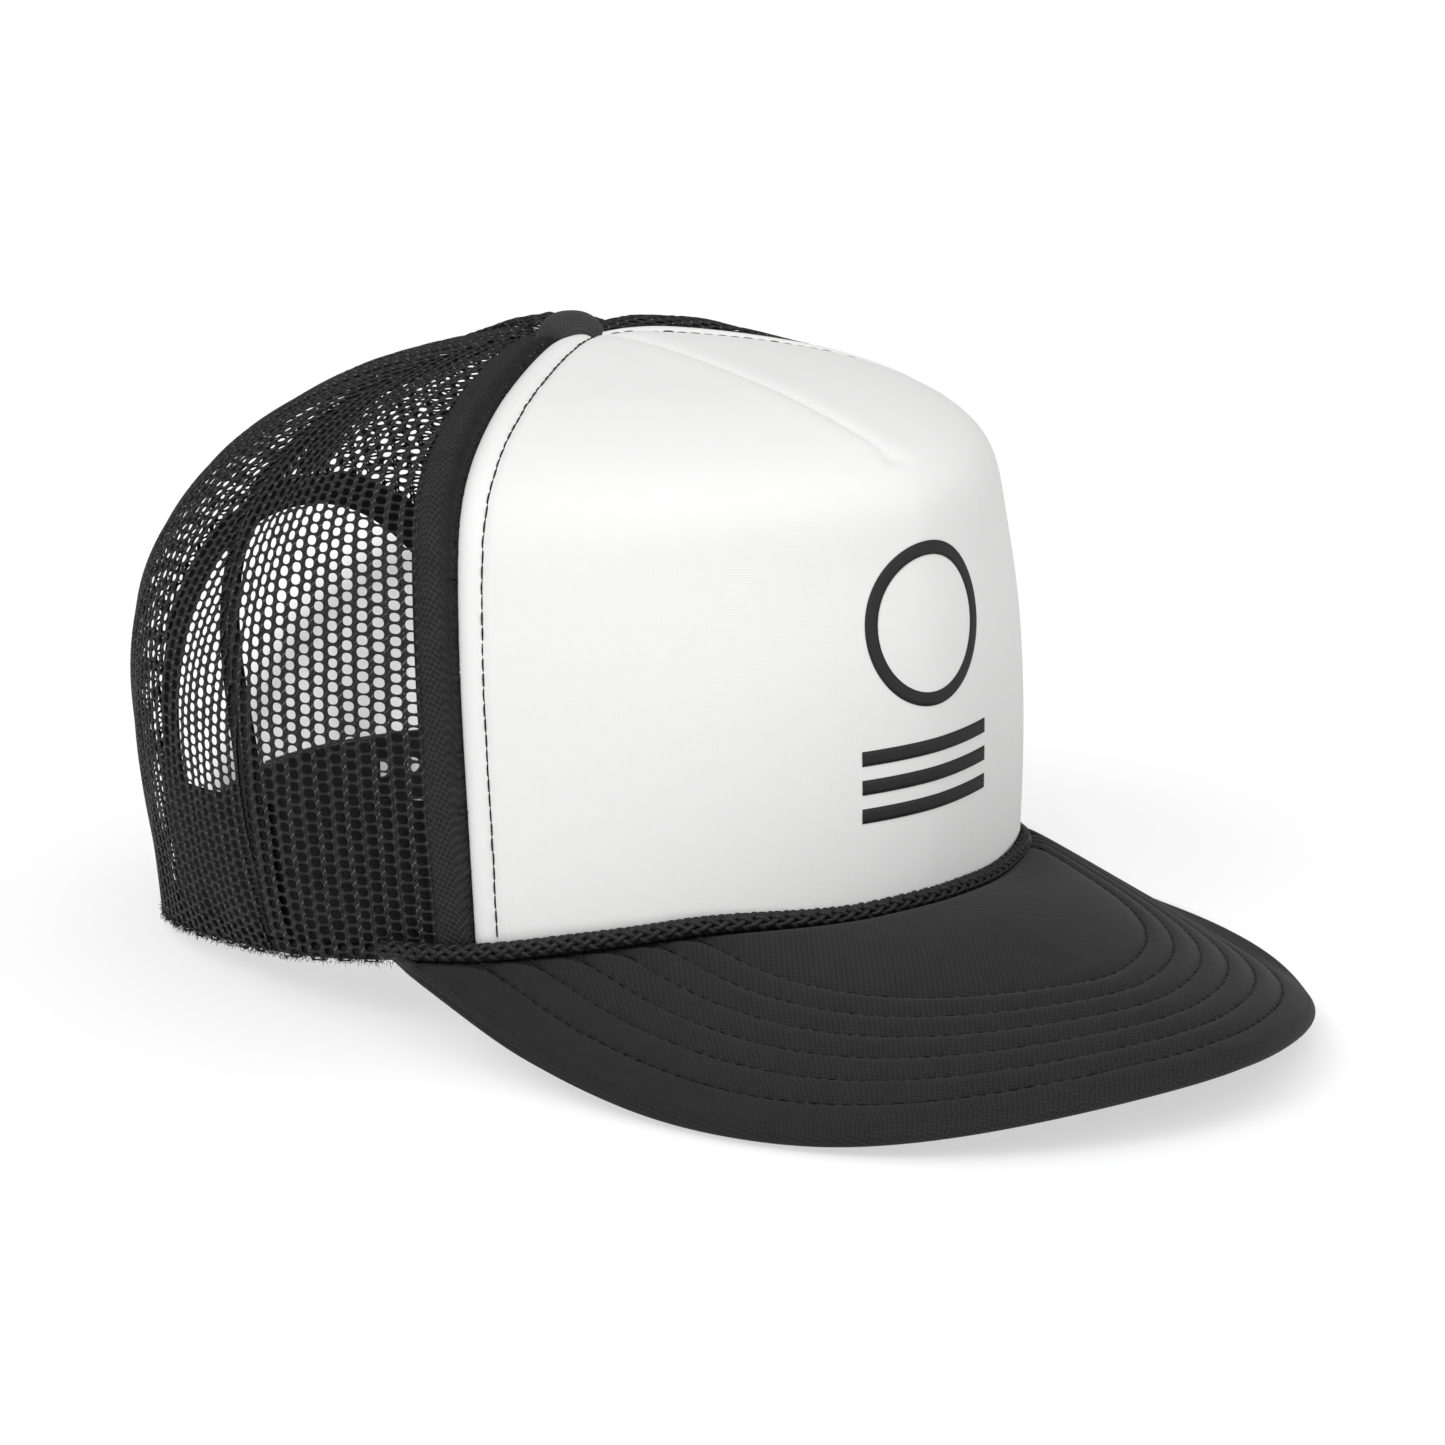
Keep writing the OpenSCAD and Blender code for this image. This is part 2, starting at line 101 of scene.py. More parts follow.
def bill_z(x, y):
    f = np.clip(-(y + front_depth) / bill_len, -1, 1.5)
    k = (x / bill_half) ** 2
    return front_lift - 16.6 * f - 25.1 * k - 1.5 * k * k


def front_dip(phi):
    """The middle of the hem hangs a little lower than the bill's own curve."""
    return 3.1 * smooth((34 - np.abs(phi)) / 25)


def lie(x, y):
    """The middle of the bill where it lies: it leans a little to the wearer's left."""
    phi = np.degrees(np.arctan2(x, -y))
    far = np.maximum(np.hypot(x, y) - plan(phi), 0)
    lean = bill_lean * x * (1 + np.where(x < 0, -0.8 * smooth(far / 20), 0.6 * smooth(far / 45)))
    z = bill_z(x, y) - lean - front_dip(phi) * np.exp(-((far / 14) ** 2))
    rest = 1.9  # the low corners lie on the floor instead of passing through it
    return rest + 0.5 * np.logaddexp(0, (z - rest) / 0.5)


def hem(phi):
    p = np.abs(phi)
    q = np.minimum(p, bill_corner)
    r = plan(q)
    zb = bill_z(r * np.sin(q * D2R), -r * np.cos(q * D2R)) - front_dip(q)
    t = np.clip((hem_end - p) / (hem_end - bill_corner), 0, 1)
    return np.where(p <= bill_corner, zb, zb * t**1.3)


def shares(phi):
    w = smooth((np.cos(phi * D2R) + 0.35) / 1.1)
    return w, 4.05 + (7.77 - 4.05) * w, 1.52 + (1.8 - 1.52) * w


def skin(phi, u):
    phi, u = np.broadcast_arrays(np.asarray(phi, float), np.asarray(u, float))
    w, m, q = shares(phi)
    zeta = np.sin(90 * np.clip(u, 0, 1) * D2R)
    rho = np.maximum(0, 1 - zeta**m) ** (1 / q)
    h = hem(phi)
    r = plan(phi, zeta) * rho * (1 + 0.025 * np.sin(np.pi * zeta))
    ease = 1 - 1.2 * np.exp(-((np.abs(phi) - 129) / 19) ** 2)
    r = r - rear_tuck * ease * (1 - w) * np.exp(-zeta * crown_height / 12.6) * rho
    full = 8.8 * np.exp(-((phi / 72) ** 2) - ((zeta - 0.86) / 0.145) ** 2)
    full = full + 1.5 * smooth((np.abs(phi) - 100) / 30) * np.exp(-(((zeta - 0.62) / 0.42) ** 2))
    r = r + np.maximum(full * np.minimum(1, (1 - zeta) / 0.06), 0)
    dip = 3.2 * np.exp(-((r / 10) ** 2)) * (zeta > 0.8)
    return np.stack([r * np.sin(phi * D2R), -r * np.cos(phi * D2R) + top_set_back * zeta**1.5,
                     h + (crown_height - h) * zeta - dip], -1)


def unit(v):
    return v / np.maximum(np.linalg.norm(v, axis=-1, keepdims=True), 1e-12)


def layer(phi, u, d):
    """The crown's surface moved inwards by d millimetres."""
    phi, u, d = np.broadcast_arrays(*[np.asarray(v, float) for v in (phi, u, d)])
    hi, lo = np.minimum(0.999, u + 0.004), np.maximum(0, u - 0.004)
    n = unit(np.cross(skin(phi + 0.4, u) - skin(phi - 0.4, u), skin(phi, hi) - skin(phi, lo)))
    return skin(phi, u) - d[..., None] * n


def u_at(phi, e):
    return np.arcsin(np.clip(e / (crown_height - hem(phi)), 0, 1)) / D2R / 90


def rope_e(phi):
    """Height of the rope over the hem."""
    x = plan(phi) * np.sin(phi * D2R)
    e = 1.4 + 0.9 * smooth((-phi - 10) / 25) - 0.7 * smooth((-phi - 45) / 15)
    return e - bill_lean * x - 1.3 * smooth((phi - 5) / 30)


def u_closed(phi, rho):
    w, m, q = shares(np.asarray(phi, float))
    return np.arcsin((1 - rho**q) ** (1 / m)) / D2R / 90


def side_at(u):
    return 92 + 22 * smooth((u - 0.2) / 0.55)


def wide(u):
    return np.maximum(0.08, np.maximum(0, 1 - np.sin(90 * u * D2R) ** 5) ** (1 / 1.65))


def deg_at(length, u):
    return length / (mean_r * wide(u)) / D2R


# %% [markdown]
# Cloth is modelled as grids of points with a thickness. A closed slab is two grids joined round
# their border, and its UV map is in metres along the cloth, so that a weave keeps its scale.

# %% Helpers that turn grids into pieces
def new_piece(name, points, faces, uv=None, body="crown", slot=None):
    me = bpy.data.meshes.new(name)
    p = np.asarray(points, float).reshape(-1, 3) * MM
    p = p + np.array([0, y_mid * MM, 0])
    me.from_pydata(p.tolist(), [], [list(map(int, f)) for f in faces])
    me.validate()
    if uv is not None:
        lay = me.uv_layers.new(name="UVMap")
        idx = np.zeros(len(me.loops), int)
        me.loops.foreach_get("vertex_index", idx)
        lay.data.foreach_set("uv", (np.asarray(uv, float).reshape(-1, 2)[idx] * MM).ravel())
    me.polygons.foreach_set("use_smooth", [True] * len(me.polygons))
    me.update()
    o = bpy.data.objects.new(name, me)
    scene.collection.objects.link(o)
    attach(o, body)
    return o


def grid_faces(r, c, base=0, flip=False, closed=False):
    i, j = np.meshgrid(np.arange(r - 1), np.arange(c if closed else c - 1), indexing="ij")
    a, b = i * c + j, i * c + (j + 1) % c
    f = np.stack([a, b, b + c, a + c], -1).reshape(-1, 4) + base
    return f[:, ::-1] if flip else f


def grid_uv(P):
    du = np.linalg.norm(np.diff(P, axis=1), axis=2)
    dv = np.linalg.norm(np.diff(P, axis=0), axis=2)
    U = np.concatenate([np.zeros((P.shape[0], 1)), np.cumsum(du, 1)], 1)
    U = U - U.mean(1, keepdims=True)
    V = np.concatenate([np.zeros((1, P.shape[1])), np.cumsum(dv, 0)], 0)
    return np.stack([U, V], -1)


def border(k):
    """The outline of a grid of point numbers, once round."""
    return np.concatenate([k[0, :-1], k[:-1, -1], k[-1, :0:-1], k[:0:-1, 0]])


cuts = {}


def slab(name, out, inn, **kw):
    r, c = out.shape[:2]
    n = r * c
    across = [np.linalg.norm(np.diff(out, axis=k), axis=-1).sum(axis=k).max() * MM for k in (0, 1)]
    cuts[name] = (min(across), max(across))
    pts = np.concatenate([out.reshape(-1, 3), inn.reshape(-1, 3)])
    k = np.arange(n).reshape(r, c)
    ring = border(k)
    nxt = np.roll(ring, -1)
    side = np.stack([nxt, ring, ring + n, nxt + n], -1)
    uv = np.concatenate([grid_uv(out).reshape(-1, 2)] * 2)
    faces = [*grid_faces(r, c), *grid_faces(r, c, n, True), *side]
    return new_piece(name, pts, faces, uv, **kw)


def cloth(o):
    """Prints a cloth piece's cut and area."""
    w, length = cuts[o.name]
    w = max(w, 0.01)
    area = sum(q.area for q in o.data.polygons) / 2
    print(o.name, "cut", round(w * 1000, 1), "x", round(length * 1000, 1), "mm, area",
          round(area * 1e4, 1), "cm2")


def tube(path, radius, sides=8):
    """Points and faces of a round thread along a path, with closed ends."""
    path = np.asarray(path, float)
    t = unit(np.gradient(path, axis=0))
    up = np.array([0, 0, 1.0])
    n = unit(np.cross(t, up) + 1e-9)
    b = np.cross(n, t)
    r = np.broadcast_to(np.asarray(radius, float), (len(path),))
    a = np.arange(sides) / sides * 2 * np.pi
    P = path[:, None] + r[:, None, None] * (np.cos(a)[None, :, None] * n[:, None]
                                            - np.sin(a)[None, :, None] * b[:, None])
    pts = P.reshape(-1, 3)
    m = len(path)
    faces = [list(f) for f in grid_faces(m, sides, 0, True, True)]
    faces += [list(range(sides)), list(range(m * sides - 1, (m - 1) * sides - 1, -1))]
    return pts, faces


def gather(parts):
    pts, faces, base = [], [], 0
    for p, f in parts:
        pts.append(p)
        faces += [[i + base for i in q] for q in f]
        base += len(p)
    return np.concatenate(pts), faces


# %% [markdown]
# Finishes come next. Woven cloth is two sets of fine waves that cross, thread by thread, with a
# soft noise for the uneven dye. The waves follow the UV map, so the weave bends with the cloth.

# %% Helpers for materials
def material(name, color, rough=0.8, sheen=0.0):
    m = bpy.data.materials.new(name)
    m.use_nodes = True
    b = m.node_tree.nodes["Principled BSDF"]
    b.inputs["Base Color"].default_value = (*color, 1)
    b.inputs["Roughness"].default_value = rough
    if sheen:
        b.inputs["Sheen Weight"].default_value = sheen
        b.inputs["Sheen Roughness"].default_value = 0.5
    return m, m.node_tree, b


def node(nt, kind, **values):
    n = nt.nodes.new(kind)
    for k, v in values.items():
        if k in n.inputs:
            n.inputs[k].default_value = v
        else:
            setattr(n, k, v)
    return n


def mapped(nt, source="UV", turn=0.0):
    c = node(nt, "ShaderNodeTexCoord")
    m = node(nt, "ShaderNodeMapping")
    m.inputs["Rotation"].default_value = (0, 0, turn)
    nt.links.new(c.outputs[source], m.inputs["Vector"])
    return m.outputs["Vector"]


def wave(nt, vec, scale, axis="X", distort=0.0):
    w = node(nt, "ShaderNodeTexWave", bands_direction=axis, Scale=scale, Distortion=distort)
    nt.links.new(vec, w.inputs["Vector"])
    return w.outputs["Fac"]


def wave_scale(pitch):
    """The Wave Texture's scale that repeats its bands every pitch millimetres."""
    return 2 * math.pi / (20 * pitch * MM)


def math_node(nt, op, a, b=None):
    m = nt.nodes.new("ShaderNodeMath")
    m.operation = op
    for i, v in enumerate((a, b)):
        if v is None:
            continue
        if isinstance(v, (int, float)):
            m.inputs[i].default_value = v
        else:
            nt.links.new(v, m.inputs[i])
    return m.outputs[0]


def tint(nt, fac, low, high):
    r = nt.nodes.new("ShaderNodeValToRGB")
    r.color_ramp.elements[0].color = (*low, 1)
    r.color_ramp.elements[1].color = (*high, 1)
    nt.links.new(fac, r.inputs["Fac"])
    return r.outputs["Color"]


def bump(nt, bsdf, height, strength, distance):
    b = node(nt, "ShaderNodeBump", Strength=strength, Distance=distance)
    nt.links.new(height, b.inputs["Height"])
    nt.links.new(b.outputs["Normal"], bsdf.inputs["Normal"])


def woven(name, low, high, pitch, turn, rough, sheen, strength, source="UV", relief=0.12):
    """Plain or twill cloth: pitch is the distance between threads in millimetres."""
    m, nt, b = material(name, high, rough, sheen)
    b.inputs["Specular IOR Level"].default_value = 0.22
    vec = mapped(nt, source, turn)
    k = wave_scale(pitch)
    a = wave(nt, vec, k, "X")
    c = wave(nt, vec, k, "Y")
    n = node(nt, "ShaderNodeTexNoise", Scale=260.0, Detail=4.0)
    nt.links.new(mapped(nt, "Object"), n.inputs["Vector"])
    both = math_node(nt, "MAXIMUM", a, c)
    cross = math_node(nt, "MULTIPLY", a, c)
    mix = math_node(nt, "MULTIPLY", math_node(nt, "ADD", both, cross), 0.5)
    mix = math_node(nt, "ADD", math_node(nt, "MULTIPLY", mix, 0.65),
                    math_node(nt, "MULTIPLY", n.outputs["Fac"], 0.35))
    nt.links.new(tint(nt, mix, low, high), b.inputs["Base Color"])
    bump(nt, b, mix, strength, relief * MM)
    return m


def give(o, m):
    o.data.materials.clear()
    o.data.materials.append(m)


# %% The finishes of the cap
front_cloth = woven("front_cloth", (0.63, 0.63, 0.627), (0.70, 0.70, 0.697),
                    0.5, 0.0, 0.85, 0.0, 0.3, relief=0.04)
foam_back = woven("foam_back", (0.55, 0.55, 0.53), (0.8, 0.8, 0.77),
                  0.9, 0.4, 0.95, 0.1, 0.8, relief=0.3)
bill_cloth = woven("bill_cloth", (0.0016, 0.0016, 0.0017), (0.020, 0.020, 0.0204),
                   0.85, 0.6, 0.85, 0.05, 0.5)
under_cloth = woven("under_cloth", (0.009, 0.009, 0.0092), (0.03, 0.03, 0.0305),
                    0.62, 0.6, 0.85, 0.05, 0.5)
tape_cloth = woven("tape_cloth", (0.004, 0.004, 0.0042), (0.016, 0.016, 0.0165),
                   0.7, 0.785, 0.85, 0.05, 0.8)
fold_cloth = woven("fold_cloth", (0.0015, 0.0015, 0.0016), (0.036, 0.036, 0.037),
                   1.0, 0.5, 0.85, 0.0, 1.0, relief=0.4)
sweat_cloth = woven("sweat_cloth", (0.005, 0.005, 0.005), (0.014, 0.014, 0.0145),
                    0.8, 0.3, 0.9, 0.05, 0.6)
button_cloth = woven("button_cloth", (0.014, 0.014, 0.014), (0.05, 0.05, 0.051),
                     0.6, 0.5, 0.85, 0.05, 0.5, "Object")
thread_yarn = woven("thread_yarn", (0.002, 0.002, 0.002), (0.011, 0.011, 0.011),
                    0.3, 0.6, 0.6, 0.0, 0.6, "Object")


# %% [markdown]
# The front is one piece of foam with a knitted face. Its side edges are turned in over the foam,
# so they roll round softly, and a seam thread pulls a shallow line beside each edge. A dart runs
# from the button down the middle, where the flat foam is taken in to make the dome.

# %% The front panel's relief
def front_relief(phi, u):
    """How far the front lies inside the plain crown, in millimetres."""
    r = mean_r * wide(u)
    e = (front_seam - np.abs(phi)) * D2R * r
    roll = 2.7
    d = np.where(e < roll, roll - np.sqrt(np.maximum(0, roll**2 - (roll - np.minimum(e, roll)) ** 2)), 0)
    line = deg_at(stitch_in, u)
    off = (front_seam - np.abs(phi) - line) * D2R * r
    d = d - 0.45 * np.exp(-((e - 3.4) / 2.0) ** 2) + 0.55 * np.exp(-(off / 0.75) ** 2)
    along = smooth((u - dart_from) / 0.05)
    side = np.abs(phi + 2.5 * np.sin(np.pi * np.clip((u - dart_from) / 0.3, 0, 1))) * D2R * r
    d = d + along * (0.45 * np.exp(-(side / 0.7) ** 2) - 0.2 * np.exp(-((side - 3.4) / 2.6) ** 2))
    tip = np.exp(-((u - 0.64) / 0.012) ** 2 - (side / 2.2) ** 2)
    d = d + 0.8 * tip
    wander = 0.22 * np.sin(phi * 0.11 + 3 * u) * np.sin(7.0 * u + 0.6) * smooth(e / 12)
    return d + wander


def front_grid(d, rows_n=150, cols_n=240, inset=0.0):
    t = np.linspace(-1, 1, cols_n)
    t = np.sign(t) * (1 - (1 - np.abs(t)) ** 1.12)
    k = np.linspace(0, 1, rows_n)[:, None]
    phi0 = front_seam * t[None, :]
    u0 = u_at(phi0, np.maximum(1.0, rope_e(phi0) + 0.5) if inset == 0 else hem_h + 0.4)
    u1 = u_closed(phi0, pole)
    u = u0 + (u1 - u0) * k
    side = front_seam - deg_at(inset, u)
    phi = np.clip(phi0, -side, side)
    return layer(phi, u, front_relief(phi, u) + d)


# %% The front panel's face and foam
out = front_grid(0.0)
inn = front_grid(0.65)
face = slab("front_face", out, inn, slot="front_cloth")
give(face, front_cloth)
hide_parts("front_panel_face")
cloth(face)
out = front_grid(0.75, 60, 90, 0.9)
inn = front_grid(3.2, 60, 90, 0.9)
foam = slab("front_foam", out, inn, slot="foam")
give(foam, foam_back)
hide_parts("front_panel_foam")
print("front face", len(face.data.polygons), "faces")


# %% [markdown]
# A row of stitches is many short threads that dive into the cloth at both ends. One thread is a
# small tube with an arched path, and it is repeated along the line with tiny differences.

# %% Stitches along a line
rng = np.random.default_rng(7)


def stitches(line, pitch, gap, r, lift, dive, wander, normal):
    """line is a dense path on the cloth, normal its outward directions. All lengths are in mm."""
    seg = np.linalg.norm(np.diff(line, axis=0), axis=1)
    s = np.concatenate([[0], np.cumsum(seg)])
    parts = []
    for a in np.arange(0.3, s[-1] - pitch, pitch):
        t = a + (pitch - gap) * np.linspace(0, 1, 6)
        p = np.stack([np.interp(t, s, line[:, i]) for i in range(3)], 1)
        n = np.stack([np.interp(t, s, normal[:, i]) for i in range(3)], 1)
        arch = np.sin(np.linspace(0, 1, 6) * np.pi) ** 0.45
        p = p + n * (lift * arch - dive * (1 - arch))[:, None]
        p[1:-1] += rng.normal(0, wander, 3)
        parts.append(tube(p, r * (0.75 + 0.25 * arch), 6))
    return parts


def front_line(side):
    u = np.linspace(float(u_at(front_seam, 5.6)), float(u_closed(front_seam, 0.085)), 700)
    phi = side * (front_seam - deg_at(stitch_in, u))
    rel = front_relief(phi, u)
    return layer(phi, u, rel), unit(layer(phi, u, -1) - layer(phi, u, 0))


parts = []
for side in (-1, 1):
    line, up = front_line(side)
    parts += stitches(line, 2.9, 0.12, 0.19, 0.15, 0.05, 0.07, up)
threads = new_piece("front_stitches", *gather(parts), slot="thread")
give(threads, thread_yarn)
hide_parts("front_topstitch")
print(len(parts), "front stitches")


# %% [markdown]
# The net is knitted, with upright pillars of yarn and thin strands across, and an opening in each
# cell. Here each cell is a hexagon with a rounded hole. The cells are laid out flat, at the real
# pitch, and the flat net is then wrapped on the crown with lengths kept along its own middle.

# %% A flat net
cell_w, cell_h = 3.5, 2.35


def net_finish():
    """Dark filament yarn. Each pillar carries one light diagonal tick per row, a painted highlight where
    its yarn loop would catch the light; the same ticks also raise the bump.
    """
    m, nt, b = material("net_yarn", (0.01, 0.01, 0.01), 0.55)
    b.inputs["Specular IOR Level"].default_value = 0.22
    vec = mapped(nt, "UV")
    s = nt.nodes.new("ShaderNodeSeparateXYZ")
    nt.links.new(vec, s.inputs[0])
    col = math_node(nt, "DIVIDE", s.outputs["X"], cell_w * MM)
    row = math_node(nt, "DIVIDE", s.outputs["Y"], cell_h * MM)
    x = math_node(nt, "MULTIPLY", math_node(nt, "SUBTRACT", math_node(nt, "FRACT", col), 0.5), cell_w)
    fine = wave(nt, vec, wave_scale(0.34), "X", 1.5)
    noise = node(nt, "ShaderNodeTexNoise", Scale=900.0, Detail=3.0)
    nt.links.new(vec, noise.inputs["Vector"])
    # Mask of the painted highlight: one diagonal band per row on each pillar.
    shift = math_node(nt, "ADD", row, math_node(nt, "MULTIPLY", x, 0.42))
    y = math_node(nt, "FRACT", math_node(nt, "ADD", shift, 0.25))
    y = math_node(nt, "ABSOLUTE", math_node(nt, "SUBTRACT", y, 0.5))
    line = math_node(nt, "SUBTRACT", 1.0, math_node(nt, "MULTIPLY", y, 11.0))
    side = math_node(nt, "MULTIPLY", math_node(nt, "ABSOLUTE", x), 1.35)
    side = math_node(nt, "SUBTRACT", 1.0, math_node(nt, "POWER", side, 4.0))
    loop_highlight = math_node(nt, "MAXIMUM", math_node(nt, "MINIMUM", line, side), 0.0)
    pair = math_node(nt, "FRACT", math_node(nt, "MULTIPLY", math_node(nt, "FLOOR", col), 0.5))
    weight = math_node(nt, "ADD", math_node(nt, "MULTIPLY", pair, 1.2), 0.4)
    loop_highlight = math_node(nt, "MULTIPLY", loop_highlight, weight)
    loop_highlight = math_node(nt, "MULTIPLY", loop_highlight, math_node(nt, "MULTIPLY", noise.outputs["Fac"], 2.0))
    # Painted highlight: the ticks lighten the base colour where each yarn loop would catch the light.
    mix = math_node(nt, "ADD", math_node(nt, "MULTIPLY", fine, 0.10), math_node(nt, "MULTIPLY", loop_highlight, 0.9))
    nt.links.new(tint(nt, mix, (0.0065, 0.0065, 0.0067), (0.17, 0.17, 0.172)), b.inputs["Base Color"])
    bump(nt, b, math_node(nt, "ADD", fine, loop_highlight), 0.6, 0.12 * MM)
    return m


net_yarn = net_finish()
b_out = (cell_w**2 + cell_h**2 / 4) / (2 * cell_w)
a_out = ((cell_w**2 + cell_h**2 / 4) / 2 - cell_h**2 / 4) / cell_w
outer = np.array([(b_out, 0), ((a_out + b_out) / 2, cell_h / 4), (a_out, cell_h / 2), (0, cell_h / 2),
                  (-a_out, cell_h / 2), (-(a_out + b_out) / 2, cell_h / 4), (-b_out, 0),
                  (-(a_out + b_out) / 2, -cell_h / 4), (-a_out, -cell_h / 2), (0, -cell_h / 2),
                  (a_out, -cell_h / 2), ((a_out + b_out) / 2, -cell_h / 4)])
slit = 0.15
for k in (1, 5, 7, 11):
    outer[k] -= slit * np.sign(outer[k]) * [0.948, 0.318]
ang = np.arange(12) * np.pi / 6
hole = np.stack([1.27 * np.sign(np.cos(ang)) * np.abs(np.cos(ang)) ** 0.85,
                 0.97 * np.sign(np.sin(ang)) * np.abs(np.sin(ang)) ** 0.8], 1)


def flat_net(inside, x0, x1, y0, y1):
    cols = np.arange(math.floor(x0 / cell_w) - 1, math.ceil(x1 / cell_w) + 2)
    C = []
    for i in cols:
        for j in np.arange(math.floor(y0 / cell_h) - 1, math.ceil(y1 / cell_h) + 2):
            C.append((i * cell_w, (j + 0.5 * (i % 2)) * cell_h))
    C = np.array(C)
    C = C[inside(C[:, 0], C[:, 1])]
    O = C[:, None] + outer[None]
    H = C[:, None] + hole[None] * (1 + rng.normal(0, 0.05, (len(C), 1, 1)))
    H = H + rng.normal(0, 0.05, (len(C), 1, 2))
    key, back = np.unique(np.round(O.reshape(-1, 2), 3), axis=0, return_inverse=True)
    key = key + rng.normal(0, 0.04, key.shape)
    return key, back.reshape(-1, 12), H, len(C)


def net_mesh(name, wrap, inside, box4, mirror):
    key, ring, H, n = flat_net(inside, *box4)
    ko, kh = len(key), n * 12
    flat = np.concatenate([key, H.reshape(-1, 2)])
    top = np.concatenate([np.full(ko, -0.06), np.full(kh, 0.14)])
    low = np.concatenate([np.full(ko, 0.5), np.full(kh, 0.34)])
    P = np.concatenate([wrap(flat, top), wrap(flat, low)])
    uv = np.concatenate([flat, flat])
    h = ko + np.arange(kh).reshape(n, 12)
    r2, h2 = np.roll(ring, -1, 1), np.roll(h, -1, 1)
    t = ko + kh
    up = np.stack([ring, r2, h2, h], -1).reshape(-1, 4)
    dn = np.stack([h, h2, r2, ring], -1).reshape(-1, 4) + t
    wall = np.stack([h, h2, h2 + t, h + t], -1).reshape(-1, 4)
    e = np.stack([ring, r2], -1).reshape(-1, 2)
    es = np.sort(e, 1)
    _, inv, cnt = np.unique(es, axis=0, return_inverse=True, return_counts=True)
    lone = e[cnt[inv.ravel()] == 1]
    rim = np.stack([lone[:, 1], lone[:, 0], lone[:, 0] + t, lone[:, 1] + t], -1)
    F = np.concatenate([up, dn, wall, rim])
    if mirror:
        P = P * np.array([-1, 1, 1])
        F = F[:, ::-1]
    o = new_piece(name, P, F, uv, slot="net")
    give(o, net_yarn)
    print(name, n, "cells,", len(F) * 2, "triangles")
    return o


# %% Wrapping the net on the side and the back
def wrapper(mid, lo_seam, hi_seam, opening, rise):
    u = np.linspace(0, 1, 1500)
    c = skin(mid(u), u)
    y = np.concatenate([[0], np.cumsum(np.linalg.norm(np.diff(c, axis=0), axis=1))])
    rad = np.linalg.norm(skin(mid(u) + 1, u) - skin(mid(u) - 1, u), axis=1) / 2

    def place(x, yy):
        uu = np.interp(yy, y, u)
        rr = np.maximum(np.interp(yy, y, rad), 0.06)
        return mid(uu) + x / rr, uu

    def inside(x, yy):
        phi, uu = place(x, yy)
        ok = (phi > lo_seam(uu) + 0.3) & (phi < hi_seam(uu) - 0.3)
        ok &= (yy > 0.9) & (uu < u_closed(phi, pole))
        if opening:
            p = skin(phi, uu)
            ok &= ~arch_inside(p[..., 0], p[..., 2])
        return ok

    def wrap(flat, d):
        phi, uu = place(flat[:, 0], flat[:, 1])
        uu = np.clip(uu, u_at(phi, 0.4), u_closed(phi, pole))
        phi = np.clip(phi, lo_seam(uu), hi_seam(uu))
        if opening:
            phi, uu = off_arch(phi, uu)
        t = (phi - lo_seam(uu)) / (hi_seam(uu) - lo_seam(uu))
        width = (hi_seam(uu) - lo_seam(uu)) * D2R * mean_r * wide(uu)
        z = crown_height * np.sin(90 * uu * D2R)
        from_pole = mean_r * wide(uu)
        arch = np.sin(np.pi * np.clip(t, 0, 1))
        sink = 0.4 * arch * smooth((z - 70) / 20) * smooth((from_pole - 45) / 20)
        sink = sink - rise * arch**0.6 * np.exp(-((from_pole - 26) / 15) ** 2)
        near = np.minimum(t, 1 - t) * width
        sink = sink + 0.45 * np.exp(-(near / 1.1) ** 2) * smooth((126 - z) / 8)
        flutter = 0.25 * np.sin(phi * 0.55 + z * 0.08) * np.sin(z * 0.11 + phi * 0.13) * smooth(near / 8)
        return layer(phi, uu, d + sink + flutter)

    return wrap, inside, y[-1]


def arch_inside(x, z):
    """Whether a point lies within the back opening: an ellipse on two straight legs."""
    ax = np.abs(x)
    over = (ax / open_half) ** 2 + (np.maximum(z - foot_z, 0) / open_h) ** 2 < 1
    return over & (ax < open_half)


def off_arch(phi, u):
    """Moves points that fall inside the back opening out to its edge."""
    for _ in range(6):
        p = skin(phi, u)
        x, z = p[..., 0], p[..., 2]
        bad = arch_inside(x, z)
        if not bad.any():
            break
        k = np.sqrt((x / open_half) ** 2 + (np.maximum(z - foot_z, 0) / open_h) ** 2)
        tx = np.where(z > foot_z, x / np.maximum(k, 0.2), open_half)
        tz = np.where(z > foot_z, foot_z + (z - foot_z) / np.maximum(k, 0.2), z)
        dphi = (skin(phi - 0.5, u) - p)[..., 0] / 0.5
        phi = np.where(bad, phi - (tx - x) / np.maximum(dphi, 0.3) * 1.02, phi)
        u = np.where(bad, np.arcsin(np.clip(tz / crown_height, 0, 1)) / D2R / 90, u)
    return phi, u


side_mid = lambda u: 76 + 9 * smooth((u - 0.35) / 0.6)
back_mid = lambda u: 140 + 6 * smooth((u - 0.4) / 0.5)
seam_a = lambda u: front_seam + 0.1 + 0 * u
seam_c = lambda u: 179.9 + 0 * u
for mirror, word in ((True, "right"), (False, "left")):
    rise = -0.8 if mirror else 2.2
    wrap, inside, top_y = wrapper(side_mid, seam_a, side_at, False, rise)
    o = net_mesh("side_net_" + word, wrap, inside, (-50, 60, 0, top_y), mirror)
    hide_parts("side_mesh_" + word)
    wrap, inside, top_y = wrapper(back_mid, side_at, seam_c, True, rise)
    o = net_mesh("back_net_" + word, wrap, inside, (-90, 90, 0, top_y), mirror)
    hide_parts("back_mesh_" + word)


# %% [markdown]
# Inside, a tape is sewn over each seam, and a binding goes round the back opening. They are thin
# woven strips with soft edges and slight puckers where the thread holds them.

